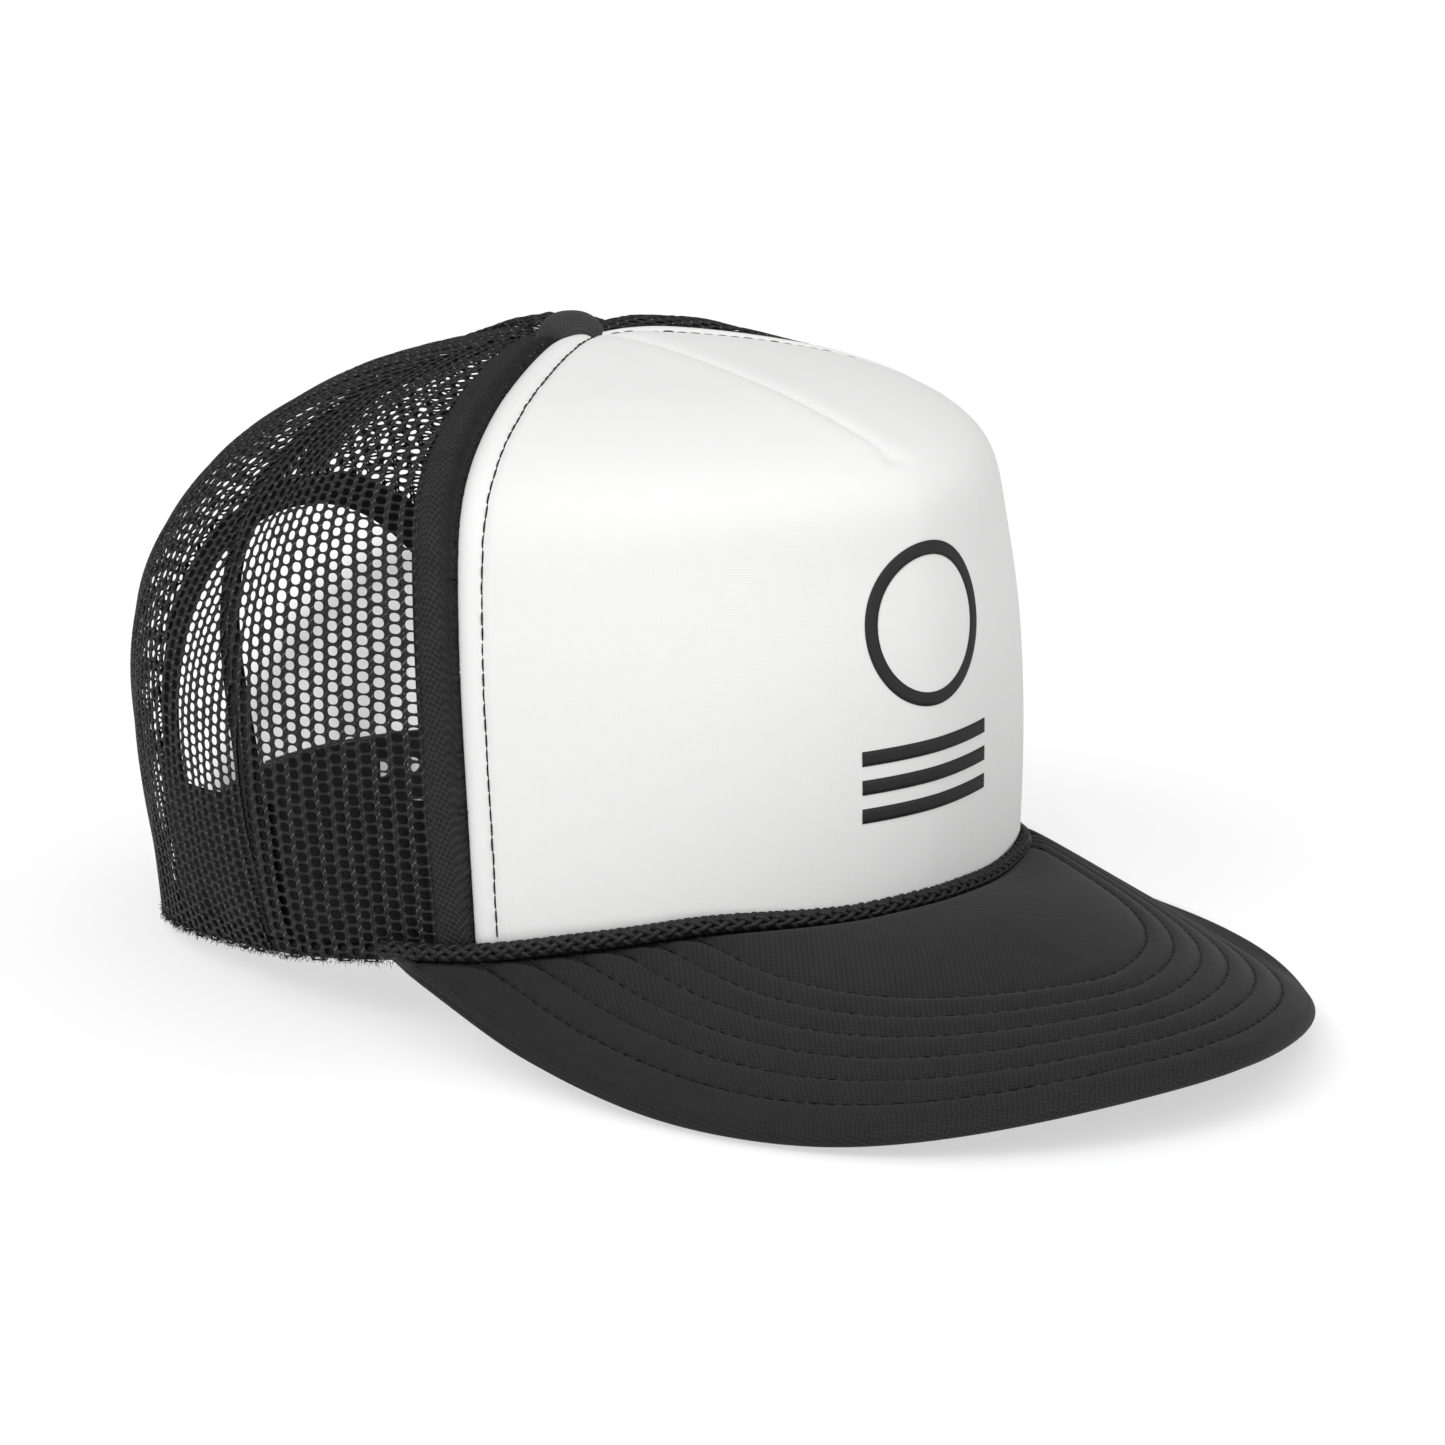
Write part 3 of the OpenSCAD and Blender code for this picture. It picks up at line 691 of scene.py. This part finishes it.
# %% Seam tapes and the binding
def strip_grids(mid, u0, u1, w, d0, thick, n, ragged=0.0, curl=0.0):
    u = np.linspace(u0, u1, n)[:, None]
    t = np.linspace(-1, 1, 15)[None, :]
    edge = 0.55 * np.abs(t) ** 6
    puck = 0.10 * np.sin(u * 330) * np.exp(-((np.abs(t) - 0.72) / 0.2) ** 2)
    half = w / 2 * (1 + ragged * rng.normal(0, 1, u.shape) * (t < 0))
    phi = mid(u) + t * deg_at(half, u)
    rough_d = ragged * rng.normal(0, 1, (n, 15)) + curl * np.clip((-t - 0.68) / 0.32, 0, 1) ** 1.6
    out = layer(phi, u, d0 + edge * 0.5 + puck + rough_d)
    return out, layer(phi, u, d0 + thick - edge * 0.3 + puck + rough_d)


def strip(name, mid, u0, u1, w, node_name, d0=0.8, mirror=False, n=160, fold=None):
    sets = [strip_grids(mid, u0, u1, w, d0, 0.85, n)]
    if fold is not None:
        sets.append(strip_grids(fold, u0 * 0.3, u1, 7.8, -0.22, 0.5, 420, 0.05, 1.5))
    parts, uvs, spans = [], [], []
    for out, inn in sets:
        if mirror:
            out, inn = out[:, ::-1] * [-1, 1, 1], inn[:, ::-1] * [-1, 1, 1]
        part = slab("part", out, inn)
        me = part.data
        pts = np.array([v.co for v in me.vertices]) / MM - [0, y_mid, 0]
        parts.append((pts, [list(q.vertices) for q in me.polygons]))
        uvs.append(np.concatenate([grid_uv(out).reshape(-1, 2)] * 2))
        bpy.data.objects.remove(part)
        spans.append(cuts["part"])
    o = new_piece(name, *gather(parts), np.concatenate(uvs), slot="seam_tape")
    give(o, tape_cloth)
    if len(parts) > 1:
        o.data.materials.append(fold_cloth)
        first = len(parts[0][1])
        index = [int(k >= first) for k in range(len(o.data.polygons))]
        o.data.polygons.foreach_set("material_index", index)
    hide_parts(node_name)
    cuts[name] = (sum(q[0] for q in spans), max(q[1] for q in spans))
    cloth(o)


for mirror, word in ((True, "right"), (False, "left")):
    strip("front_seam_tape_" + word, lambda u: front_seam + deg_at(tape_w / 2 + 0.3, u),
          float(u_at(front_seam, 4)), float(u_closed(front_seam, tape_top)), tape_w,
          "seam_tape_front_" + word, mirror=mirror, fold=lambda u: front_seam + deg_at(3.4, u))
    strip("side_seam_tape_" + word, side_at, float(u_at(92, 4)), float(u_closed(114, tape_top)), tape_w,
          "seam_tape_side_" + word, mirror=mirror)
strip("center_back_tape", lambda u: 180 + 0 * u, float(u_at(180, foot_z + open_h + binding_w + 0.8)),
      float(u_closed(180, tape_top)), tape_w, "seam_tape_center_back")


def back_point(x, z, d):
    ax = np.abs(x)
    phi = np.full(np.shape(x), 150.0)
    u = np.arcsin(np.clip(z / crown_height, 0, 1)) / D2R / 90
    for _ in range(24):
        p, q = skin(phi, u), skin(phi + 0.5, u)
        phi = np.clip(phi + (ax - p[..., 0]) * 0.5 / (q[..., 0] - p[..., 0]) * 0.8, 95, 180)
    p = layer(phi, u, d)
    return np.stack([np.where(x < 0, -p[..., 0], p[..., 0]), p[..., 1], p[..., 2]], -1)


k = np.linspace(-0.12, 1.12, 220)
a = np.clip(k, 0, 1) * np.pi
leg = np.where(k < 0, k, np.where(k > 1, 1 - k, 0)) / 0.12 * (foot_z - hem_h - 0.4)


def arch_grid(d, e):
    x = -(open_half + e) * np.cos(a)[None, :]
    z = (foot_z + leg)[None, :] + (open_h + e) * np.sin(a)[None, :]
    return back_point(x + 0 * d, z + 0 * d, d + 0 * x)


sec = np.linspace(0, 1, 15)[:, None]
e = 0.1 + binding_w * sec
lip = 0.5 * (2 * np.abs(sec - 0.5)) ** 6
puck = 0.1 * np.sin(k * 420)[None, :] * np.exp(-((sec - 0.8) / 0.1) ** 2)
o = slab("opening_binding_tape", arch_grid(1.05 + lip * 0.5 + puck, e),
         arch_grid(1.95 - lip * 0.4 + puck, e), slot="seam_tape")
give(o, tape_cloth)
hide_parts("opening_binding")
cloth(o)


# %% [markdown]
# The sweatband lines the hem inside, and the hem itself is wrapped in a folded tape.

# %% Sweatband and hem
def ring_slab(name, end, lo, hi, d0, d1, rows_n, cols_n, mat, node_name, slot, puff):
    p = np.linspace(-end, end, cols_n)[None, :]
    t = np.linspace(0, 1, rows_n)[:, None]
    edge = np.abs(2 * t - 1) ** 8 * (d1 - d0) * 0.35
    body_puff = puff * np.sin(np.pi * t) ** 0.6 + 0.12 * np.sin(p * 1.7) * np.sin(t * 5)
    u = u_at(p + 0 * t, lo + (hi - lo) * t)
    out = layer(p + 0 * t, u, d0 + edge - body_puff * 0.3)
    inn = layer(p + 0 * t, u, d1 - edge + body_puff)
    o = slab(name, out, inn, slot=slot)
    give(o, mat)
    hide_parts(node_name)
    cloth(o)


ring_slab("sweat_band", hem_end - 1, 0.8, sweatband_h, 4.0, 5.2, 26, 420, sweat_cloth,
          "sweatband", "sweatband", 0.5)
p = np.linspace(-hem_end, hem_end, 520)[:, None]
th = np.linspace(0, 2 * np.pi, 22, endpoint=False)[None, :]
sx, sy = np.cos(th), np.sin(th)
dd = 2.2 + 1.35 * np.sign(sx) * np.abs(sx) ** 0.5
ee = 1.62 + 1.55 * np.sign(sy) * np.abs(sy) ** 0.55 + 0.12 * np.sin(p * 5.1) * (sy > 0)
P = layer(p + 0 * th, u_at(p + 0 * th, np.maximum(ee, 0)), dd + 0 * p)
m, c = P.shape[:2]
faces = [list(f) for f in grid_faces(m, c, 0, False, True)]
faces += [list(range(c)), list(range(m * c - 1, (m - 1) * c - 1, -1))]
fibres = []
for _ in range(2600):
    q = rng.uniform(58, hem_end) * rng.choice([-1, 1])
    root = layer(q, u_at(q, rng.uniform(0.1, 1.6)), rng.uniform(-0.1, 0.8))
    if root[2] < 0.35:
        root[2] = 0.35
    dr = np.array([np.sin(q * D2R), -np.cos(q * D2R), 0]) * rng.uniform(0.1, 1)
    dr = unit(dr + rng.normal(0, 0.6, 3) + [0, 0, -0.45])
    tip = root + dr * rng.uniform(0.5, 1.5)
    tip[2] = max(tip[2], 0.06)
    mid = (root + tip) / 2 + rng.normal(0, 0.14, 3)
    mid[2] = max(mid[2], 0.08)
    fibres.append(tube(np.array([root, mid, tip]), [0.075, 0.06, 0.03], 3))
pts, faces = gather([(P.reshape(-1, 3), faces)] + fibres)
hem_piece = new_piece("hem_binding", pts, faces, slot="seam_tape")
give(hem_piece, woven("hem_cloth", (0.004, 0.004, 0.0042), (0.02, 0.02, 0.0205),
                      0.6, 0.785, 0.9, 0.0, 0.8, "Object"))
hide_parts("hem_tape")
hem_cut = 0.0116
cuts["hem_binding"] = (hem_cut, np.linalg.norm(np.diff(P[:, 0], axis=0), axis=1).sum() * MM)
cloth(hem_piece)


# %% [markdown]
# The bill is a stiff board under a foam pad, covered in cloth. Six rows of stitches run parallel
# to the rim and sink into the pad, so the cloth stands up in soft ridges between them. The cover
# is one fine grid from the crown to the rim, and its height follows the distance from the rim.

# %% The bill's outline
def bill_in(s):
    p = layer(s * bill_corner, 0 * s, -0.5)
    return p[..., :2]


def bill_out(s):
    a = 90 * s * D2R
    yc = float(-plan(np.array(bill_corner)) * np.cos(bill_corner * D2R)) + 1.1
    far = bill_half - np.where(s > 0, 1.3, 0.6)
    x = far * np.sign(s) * np.abs(np.sin(a)) ** (2 / 1.55)
    g = ((x**2 + 200) ** 0.775 - 200**0.775) / ((far**2 + 200) ** 0.775 - 200**0.775)
    return np.stack([x, yc - (front_depth + bill_len + 1.0 + yc) * np.maximum(1 - g, 0) ** (1 / 3.7)], -1)


dense = bill_out(np.linspace(-1, 1, 4001))
tree = KDTree(len(dense))
for i, q in enumerate(dense):
    tree.insert((q[0], q[1], 0), i)
tree.balance()
run = np.concatenate([[0], np.cumsum(np.linalg.norm(np.diff(dense, axis=0), axis=1))])
row_at = row_first + row_gap * np.arange(rows)
print("bill rim", round(run[-1]), "mm long, rows at", row_at)


def rim_facts(xy):
    """Distance from the rim and place along it, for each point of the bill."""
    flat = xy.reshape(-1, 2)
    hit = [tree.find((q[0], q[1], 0)) for q in flat]
    d = np.array([h[2] for h in hit]).reshape(xy.shape[:-1])
    s = run[np.array([h[1] for h in hit])].reshape(xy.shape[:-1])
    return d, s


def ridges(dist, along, deep=1.1):
    """Height of the padded cover over its stitch rows, in millimetres."""
    t = (dist - row_first) / row_gap
    inside_rows = (t > 0) & (t < rows - 1)
    k = np.abs(np.sin(np.pi * t)) ** 0.62
    h = np.where(inside_rows, k, 1.0)
    h = np.where(t <= 0, 1 - np.exp(-np.abs(dist - row_first) / 1.1), h)
    h = np.where(t >= rows - 1, 1 - np.exp(-np.abs(dist - row_at[-1]) / 1.3), h)
    near = np.exp(-(np.min(np.abs(dist[..., None] - row_at), axis=-1) / 0.9) ** 2)
    pinch = 0.5 + 0.5 * np.cos(2 * np.pi * along / 3.0 + np.round(t) * 1.9)
    return deep * (h - 1) + near * (0.22 * pinch - 0.05)


# %% The bill's covers
def bill_grid(ns, nw):
    s = np.linspace(-1, 1, ns)
    s = np.sign(s) * (1 - (1 - np.abs(s)) ** 1.15)
    a, b = bill_in(s), bill_out(s)
    length = np.linalg.norm(b - a, axis=1)
    R = np.minimum(2.4, 0.45 * length)
    way = (b - a) / length[:, None]
    w = np.linspace(0, 1, nw)[:, None]
    flat = a[None] + (way * (length - R)[:, None])[None] * w[..., None]
    return b, R, way, flat


def past_crown(xy):
    """How far a point of the bill lies outside the crown's plan."""
    return np.linalg.norm(xy, axis=-1) - plan(np.degrees(np.arctan2(xy[..., 0], -xy[..., 1])))


cover_up, rim_half = 0.3, 1.75  # the cover's middle over the bill's, and half its rim's height


def cover_z(xy, dist):
    """Height of the cover before its stitches pull it down."""
    return lie(xy[..., 0], xy[..., 1]) + cover_up + rim_half + 0.35 * (1 - np.exp(-dist / 3))


b, R, way, flat = bill_grid(330, 126)
dist, along = rim_facts(flat)
crown_r = past_crown(flat)
fade = smooth((crown_r - 0.5) / 3.0)
valley = 2.5 * np.exp(-(np.maximum(crown_r, 0) / 3.6) ** 2)
z = cover_z(flat, dist) + ridges(dist, along) * fade - valley
top_face = np.concatenate([flat, z[..., None]], -1)
turn_a = np.linspace(90, -90, 17)[1:, None] * D2R
roll = b[None] - way[None] * (R[None, :] * (1 - np.cos(turn_a)))[..., None]
edge_t = (ridges(dist, along) * fade)[-1]
zr = lie(b[:, 0], b[:, 1])[None] + cover_up + rim_half * np.sin(turn_a)
zr = zr + edge_t[None] * np.clip(np.sin(turn_a), 0, 1)
rim_pts = np.concatenate([roll, zr[..., None]], -1)
tuck_in = b - way * (R * 1.9)[:, None]
tuck_z = lie(tuck_in[:, 0], tuck_in[:, 1]) + cover_up - rim_half + 0.1
last = np.concatenate([tuck_in, tuck_z[:, None]], -1)
out = np.concatenate([top_face, rim_pts, last[None]])
du, dv = np.gradient(out, axis=1), np.gradient(out, axis=0)
nrm = unit(np.cross(du, dv))
print("bill normals point up:", float(np.mean(nrm[:100, :, 2] > 0)))
sign = 1 if np.mean(nrm[:100, :, 2] > 0) > 0.5 else -1
inn = out - sign * nrm * 0.45
cover = slab("bill_cover_top", out[:, ::sign], inn[:, ::sign], slot="bill_cloth")
give(cover, bill_cloth)
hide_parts("bill_top_cover")
cloth(cover)
print("bill cover", len(cover.data.polygons), "faces")

*_, flat2 = bill_grid(260, 90)
dist2, along2 = rim_facts(flat2)
z2 = lie(flat2[..., 0], flat2[..., 1]) - 1.35 - 0.35 * ridges(dist2, along2) * 0.6
lowp = np.concatenate([flat2, z2[..., None]], -1)
upp = lowp + [0, 0, 0.4]
pad_top = cover_z(flat2, dist2) + ridges(dist2, along2) - 0.7
pad_top = pad_top - 2.6 * np.exp(-(np.maximum(past_crown(flat2), 0) / 4.0) ** 2)
mid_z = lie(flat2[..., 0], flat2[..., 1])
pad_low = np.minimum(mid_z + 0.35, pad_top - 0.15)
core = slice(6, None)
for name, hi_z, lo_z, slot, cad in (
        ("bill_pad", pad_top, pad_low, "foam", "bill_foam_pad"),
        ("bill_stiffener", pad_low - 0.03, mid_z - 0.85, "bill_board", "bill_board")):
    up_g = np.concatenate([flat2, hi_z[..., None]], -1)[core]
    lo_g = np.concatenate([flat2, lo_z[..., None]], -1)[core]
    o = slab(name, up_g, lo_g, slot=slot)
    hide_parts(cad)
    if slot == "foam":
        bill_pad = o
    else:
        bill_stiffener = o
under = slab("bill_cover_under", upp, lowp, slot="bill_cloth")
give(under, under_cloth)
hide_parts("bill_under_cover")
cloth(under)


# %% The bill's stitches
def row_line(d, n=1400):
    s = np.linspace(-0.985, 0.985, n)
    p, q = bill_out(s - 0.002), bill_out(s + 0.002)
    t = unit(q - p)
    xy = bill_out(s) + d * np.stack([-t[:, 1], t[:, 0]], 1)
    phi = np.degrees(np.arctan2(xy[:, 0], -xy[:, 1]))
    ok = (np.linalg.norm(xy, axis=1) > plan(phi) + rope_d * 0.7) & (np.abs(xy[:, 0]) < bill_half - d + 1)
    return xy[ok]


parts = []
for d in row_at:
    xy = row_line(d)
    zz = cover_z(xy, rim_facts(xy)[0]) - 0.85
    line = np.concatenate([xy, zz[:, None]], 1)
    parts += stitches(line, 3.0, 0.55, 0.23, 0.16, 0.3, 0.04, np.tile([0, 0, 1.0], (len(line), 1)))
o = new_piece("bill_stitches", *gather(parts), slot="thread")
give(o, thread_yarn)
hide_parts("bill_stitching")
print(len(parts), "bill stitches")


# %% [markdown]
# The rope at the base of the front is a braid: half of its strands wind one way round the core
# and half the other, and each passes over and under the ones it meets.

# %% The braided rope
def braid(path, r, strands=8, pitch=13.0, strand_r=0.62, step=0.55):
    seg = np.linalg.norm(np.diff(path, axis=0), axis=1)
    s = np.concatenate([[0], np.cumsum(seg)])
    t = np.arange(0, s[-1], step)
    c = np.stack([np.interp(t, s, path[:, i]) for i in range(3)], 1)
    tan = unit(np.gradient(c, axis=0))
    n = unit(np.cross(tan, np.array([0, 0, 1.0])))
    b = np.cross(n, tan)
    parts = []
    for k in range(strands):
        way_k = 1 if k % 2 == 0 else -1
        start = 2 * np.pi * (k // 2) / (strands // 2)
        a = start + way_k * 2 * np.pi * t / pitch
        over = np.cos((strands // 2) * 2 * np.pi * t / pitch + (0 if way_k > 0 else np.pi))
        rr = r - strand_r + 0.26 * over
        p = c + rr[:, None] * (np.cos(a)[:, None] * n + np.sin(a)[:, None] * b)
        parts.append(tube(p, strand_r * (1 + 0.04 * np.sin(t * 9)), 8))
    return parts


phi = np.linspace(-bill_corner - 1.5, bill_corner + 1.5, 600)
path = layer(phi, u_at(phi, np.maximum(rope_e(phi), 0)), -(0.7 + 1.1 * smooth((-phi - 5) / 35)))
path[:, 2] += np.minimum(rope_e(phi), 0)
pts, faces = gather(braid(path, rope_d / 2))
rope = new_piece("rope", pts, faces, slot="rope")
give(rope, woven("rope_yarn_round", (0.003, 0.003, 0.0032), (0.017, 0.017, 0.0175),
                 0.4, 0.6, 0.42, 0.0, 0.8, "Object"))
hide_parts("rope_braid")
print("rope", len(rope.data.polygons), "faces")


# %% [markdown]
# The button is a pressed shell covered in the bill's cloth. It starts as a sphere, cut at its
# widest line and flattened, with the cloth's edge turned in under it.

# %% The button's cover
lo_b, hi_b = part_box("button_cover")
cx, cy = (lo_b.x + hi_b.x) / 2, (lo_b.y + hi_b.y) / 2
r_b = (hi_b.x - lo_b.x) / 2


def pressed_dome(name, radius, low, high, thick, mat, cad):
    bpy.ops.object.select_all(action="DESELECT")
    bpy.ops.mesh.primitive_uv_sphere_add(segments=72, ring_count=36, radius=1.0, location=(0, 0, 0))
    o = bpy.context.object
    o.name = name
    bpy.ops.object.mode_set(mode="EDIT")
    bpy.ops.mesh.select_all(action="SELECT")
    bpy.ops.mesh.bisect(plane_co=(0, 0, -0.12), plane_no=(0, 0, 1), clear_inner=True)
    bpy.ops.object.mode_set(mode="OBJECT")
    for v in o.data.vertices:
        rad = math.hypot(v.co.x, v.co.y)
        up = max(0, 1 - rad**2.5) ** (1 / 1.8) if v.co.z > 0 else v.co.z
        v.co = Vector((v.co.x * radius + cx, v.co.y * radius + cy, up * (high - low) + low))
    o.data.polygons.foreach_set("use_smooth", [True] * len(o.data.polygons))
    mod = o.modifiers.new("thickness", "SOLIDIFY")
    mod.thickness, mod.offset = thick, -1
    bpy.ops.object.modifier_apply(modifier=mod.name)
    bpy.ops.object.select_all(action="DESELECT")
    give(o, mat)
    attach(o, "crown")
    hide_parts(cad)
    return o


down = 0.0015  # the button sits in a shallow dimple of the crown
button = pressed_dome("button_cloth_cover", r_b, lo_b.z - down - 0.0026, hi_b.z - down, 0.0005,
                      button_cloth, "button_cover")
cuts["button_cloth_cover"] = (2.6 * r_b, 2.6 * r_b)
cloth(button)

# %% [markdown]
# The strap is moulded plastic, the print is a matt film, and the small metal pieces are pressed
# steel. Their CAD shapes are right, so they only get a finish.

# %% Plastic, ink and metal
def plastic(name, color, rough):
    m, nt, b = material(name, color, rough)
    n = node(nt, "ShaderNodeTexNoise", Scale=1800.0, Detail=3.0)
    nt.links.new(mapped(nt, "Object"), n.inputs["Vector"])
    low, high = [tuple(c * k for c in color) for k in (0.8, 1.25)]
    nt.links.new(tint(nt, n.outputs["Fac"], low, high), b.inputs["Base Color"])
    bump(nt, b, n.outputs["Fac"], 0.25, 0.05 * MM)
    return m


strap_plastic = plastic("strap_plastic", (0.018, 0.018, 0.019), 0.42)
ink = plastic("ink_film", (0.0035, 0.0035, 0.0035), 0.75)
steel = plastic("pressed_steel", (0.55, 0.55, 0.56), 0.35)
steel.node_tree.nodes["Principled BSDF"].inputs["Metallic"].default_value = 1.0
board = plastic("board_sheet", (0.6, 0.58, 0.53), 0.7)
pad_foam = plastic("pad_foam", (0.7, 0.69, 0.65), 0.9)
for names, m in ((("hole_strap", "hole_strap_tab", "stud_strap", "stud_strap_tab"), strap_plastic),
                 (("button_post", "button_washer"), steel)):
    for n in names:
        give(frame["nodes"][n], m)
pressed_dome("button_steel_shell", r_b - 0.0007, lo_b.z - down - 0.001, hi_b.z - down - 0.0008, 0.0007,
             steel, "button_shell")
give(bill_pad, pad_foam)
give(bill_stiffener, board)

# %% [markdown]
# The print is a thin ink film that follows the foam: a plain ring over three bars.

# %% The front print
def on_front(x, z, d):
    """The point of the front at width x and height z, d millimetres below its face."""
    phi, u = np.zeros(np.shape(x)), np.full(np.shape(x), 0.4)
    for _ in range(12):
        p, q = skin(phi, u), skin(phi + 0.4, u)
        phi = phi + (x - p[..., 0]) * 0.4 / (q[..., 0] - p[..., 0])
        q = skin(phi, u + 0.004)
        p = skin(phi, u)
        u = u + (z - p[..., 2]) * 0.004 / (q[..., 2] - p[..., 2])
    return layer(phi, u, front_relief(phi, u) + d)


def film(x, z, closed):
    r, c = x.shape
    top, low = on_front(x, z, -0.16), on_front(x, z, 0.1)
    k = np.arange(r * c).reshape(r, c)
    faces = [*grid_faces(r, c, 0, False, closed), *grid_faces(r, c, r * c, True, closed)]
    loops = [k[0], k[-1][::-1]] if closed else [border(k)]
    for ring in loops:
        n = np.roll(ring, -1)
        faces += np.stack([n, ring, ring + r * c, n + r * c], -1).tolist()
    return np.concatenate([top.reshape(-1, 3), low.reshape(-1, 3)]), [list(f) for f in faces]


lo_p, hi_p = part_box("front_print")
ring_r = 16.0
a = np.linspace(0, 2 * np.pi, 160, endpoint=False)[None, :]
rr = np.linspace(ring_r, ring_r - 2.7, 4)[:, None]
parts = [film(rr * np.sin(a), 80 + rr * np.cos(a), True)]
for z0 in (56.0, 50.3, 44.6):
    x = np.linspace(-18, 18, 60)[None, :] + np.zeros((4, 1))
    parts.append(film(x, z0 + np.linspace(-1.45, 1.45, 4)[:, None] + 0 * x, False))
o = new_piece("print_film", *gather(parts), slot="print_ink")
give(o, ink)
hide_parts("front_print")
print("print is", round((hi_p.x - lo_p.x) / MM), "mm wide")

# %% [markdown]
# Each sewn end of the strap is held by a bartack, a dense zigzag of thread through the net.

# %% Bartacks
parts = []
for side in (-1, 1):
    t = np.linspace(0, 1, 90)
    zigzag = np.sin(t * 44 * np.pi)
    x = side * (open_half + 3.6 + 0.7 * np.sign(zigzag) * np.abs(zigzag) ** 0.4)
    zz = 4.6 + 10 * t
    parts.append(tube(back_point(x, zz, np.full(90, -0.22)), 0.2, 6))
o = new_piece("strap_tacks", *gather(parts), slot="thread")
give(o, thread_yarn)
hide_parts("strap_bartacks")

# %% [markdown]
# The cap stands on a plain pale floor under a pale surround. Light linking splits six suns between
# two collections: three light only the floor and shape its shadow, and three light only the cap.

# %% Floor, light and camera
paper, _, paper_bsdf = material("floor_paper", (0.95, 0.95, 0.95), 0.9)
paper_bsdf.inputs["Specular IOR Level"].default_value = 0.1
bpy.ops.mesh.primitive_plane_add(size=40, location=(0, 0, 0))
floor = bpy.context.object
floor.name = "floor"
give(floor, paper)
bpy.ops.object.select_all(action="DESELECT")

world = bpy.data.worlds.new("studio")
scene.world = world
world.use_nodes = True
bg = world.node_tree.nodes["Background"]
bg.inputs["Color"].default_value = (1, 1, 1, 1)
bg.inputs["Strength"].default_value = 0.31

AZ, EL = -45.1 * D2R, 15.15 * D2R
back_v = Vector((math.sin(AZ) * math.cos(EL), -math.cos(AZ) * math.cos(EL), math.sin(EL)))
right_v = Vector((math.cos(AZ), math.sin(AZ), 0))
aim_up, aim_right, cam_far = 42.1, 26.54, 0.7464
target = Vector((0, y_mid, aim_up)) * MM + right_v * aim_right * MM
cam_data = bpy.data.cameras.new("camera")
cam_data.lens, cam_data.sensor_width = 86.66, 36
cam_data.clip_start, cam_data.clip_end = 0.05, 30
cam = bpy.data.objects.new("camera", cam_data)
scene.collection.objects.link(cam)
cam.location = target + back_v * cam_far
cam.rotation_euler = (-back_v).to_track_quat("-Z", "Y").to_euler()
scene.camera = cam


def sun(name, azimuth, elevation, strength, softness):
    a, e = azimuth * D2R, elevation * D2R
    d = Vector((math.sin(a) * math.cos(e), -math.cos(a) * math.cos(e), math.sin(e)))
    data = bpy.data.lights.new(name, "SUN")
    data.energy, data.angle = strength, softness * D2R
    o = bpy.data.objects.new(name, data)
    scene.collection.objects.link(o)
    o.location = d
    o.rotation_euler = (-d).to_track_quat("-Z", "Y").to_euler()
    return o


floor_group = bpy.data.collections.new("floor_group")
floor_group.objects.link(floor)
cap_group = bpy.data.collections.new("cap_group")
for o in scene.objects:
    if o.type == "MESH" and o is not floor:
        cap_group.objects.link(o)
for group, *values in ((floor_group, "floor_key", -45.1, 15.4, 7.2, 4),
                       (floor_group, "floor_side", -105, 42, 0.4, 30),
                       (floor_group, "floor_top", -45, 78, 0.33, 80),
                       (cap_group, "cap_left", -78, 38, 1.75, 25),
                       (cap_group, "cap_front", 15, 30, 1.3, 30),
                       (cap_group, "cap_top", -60, 75, 1.0, 60)):
    sun(*values).light_linking.receiver_collection = group
scene.view_settings.view_transform = "Standard"
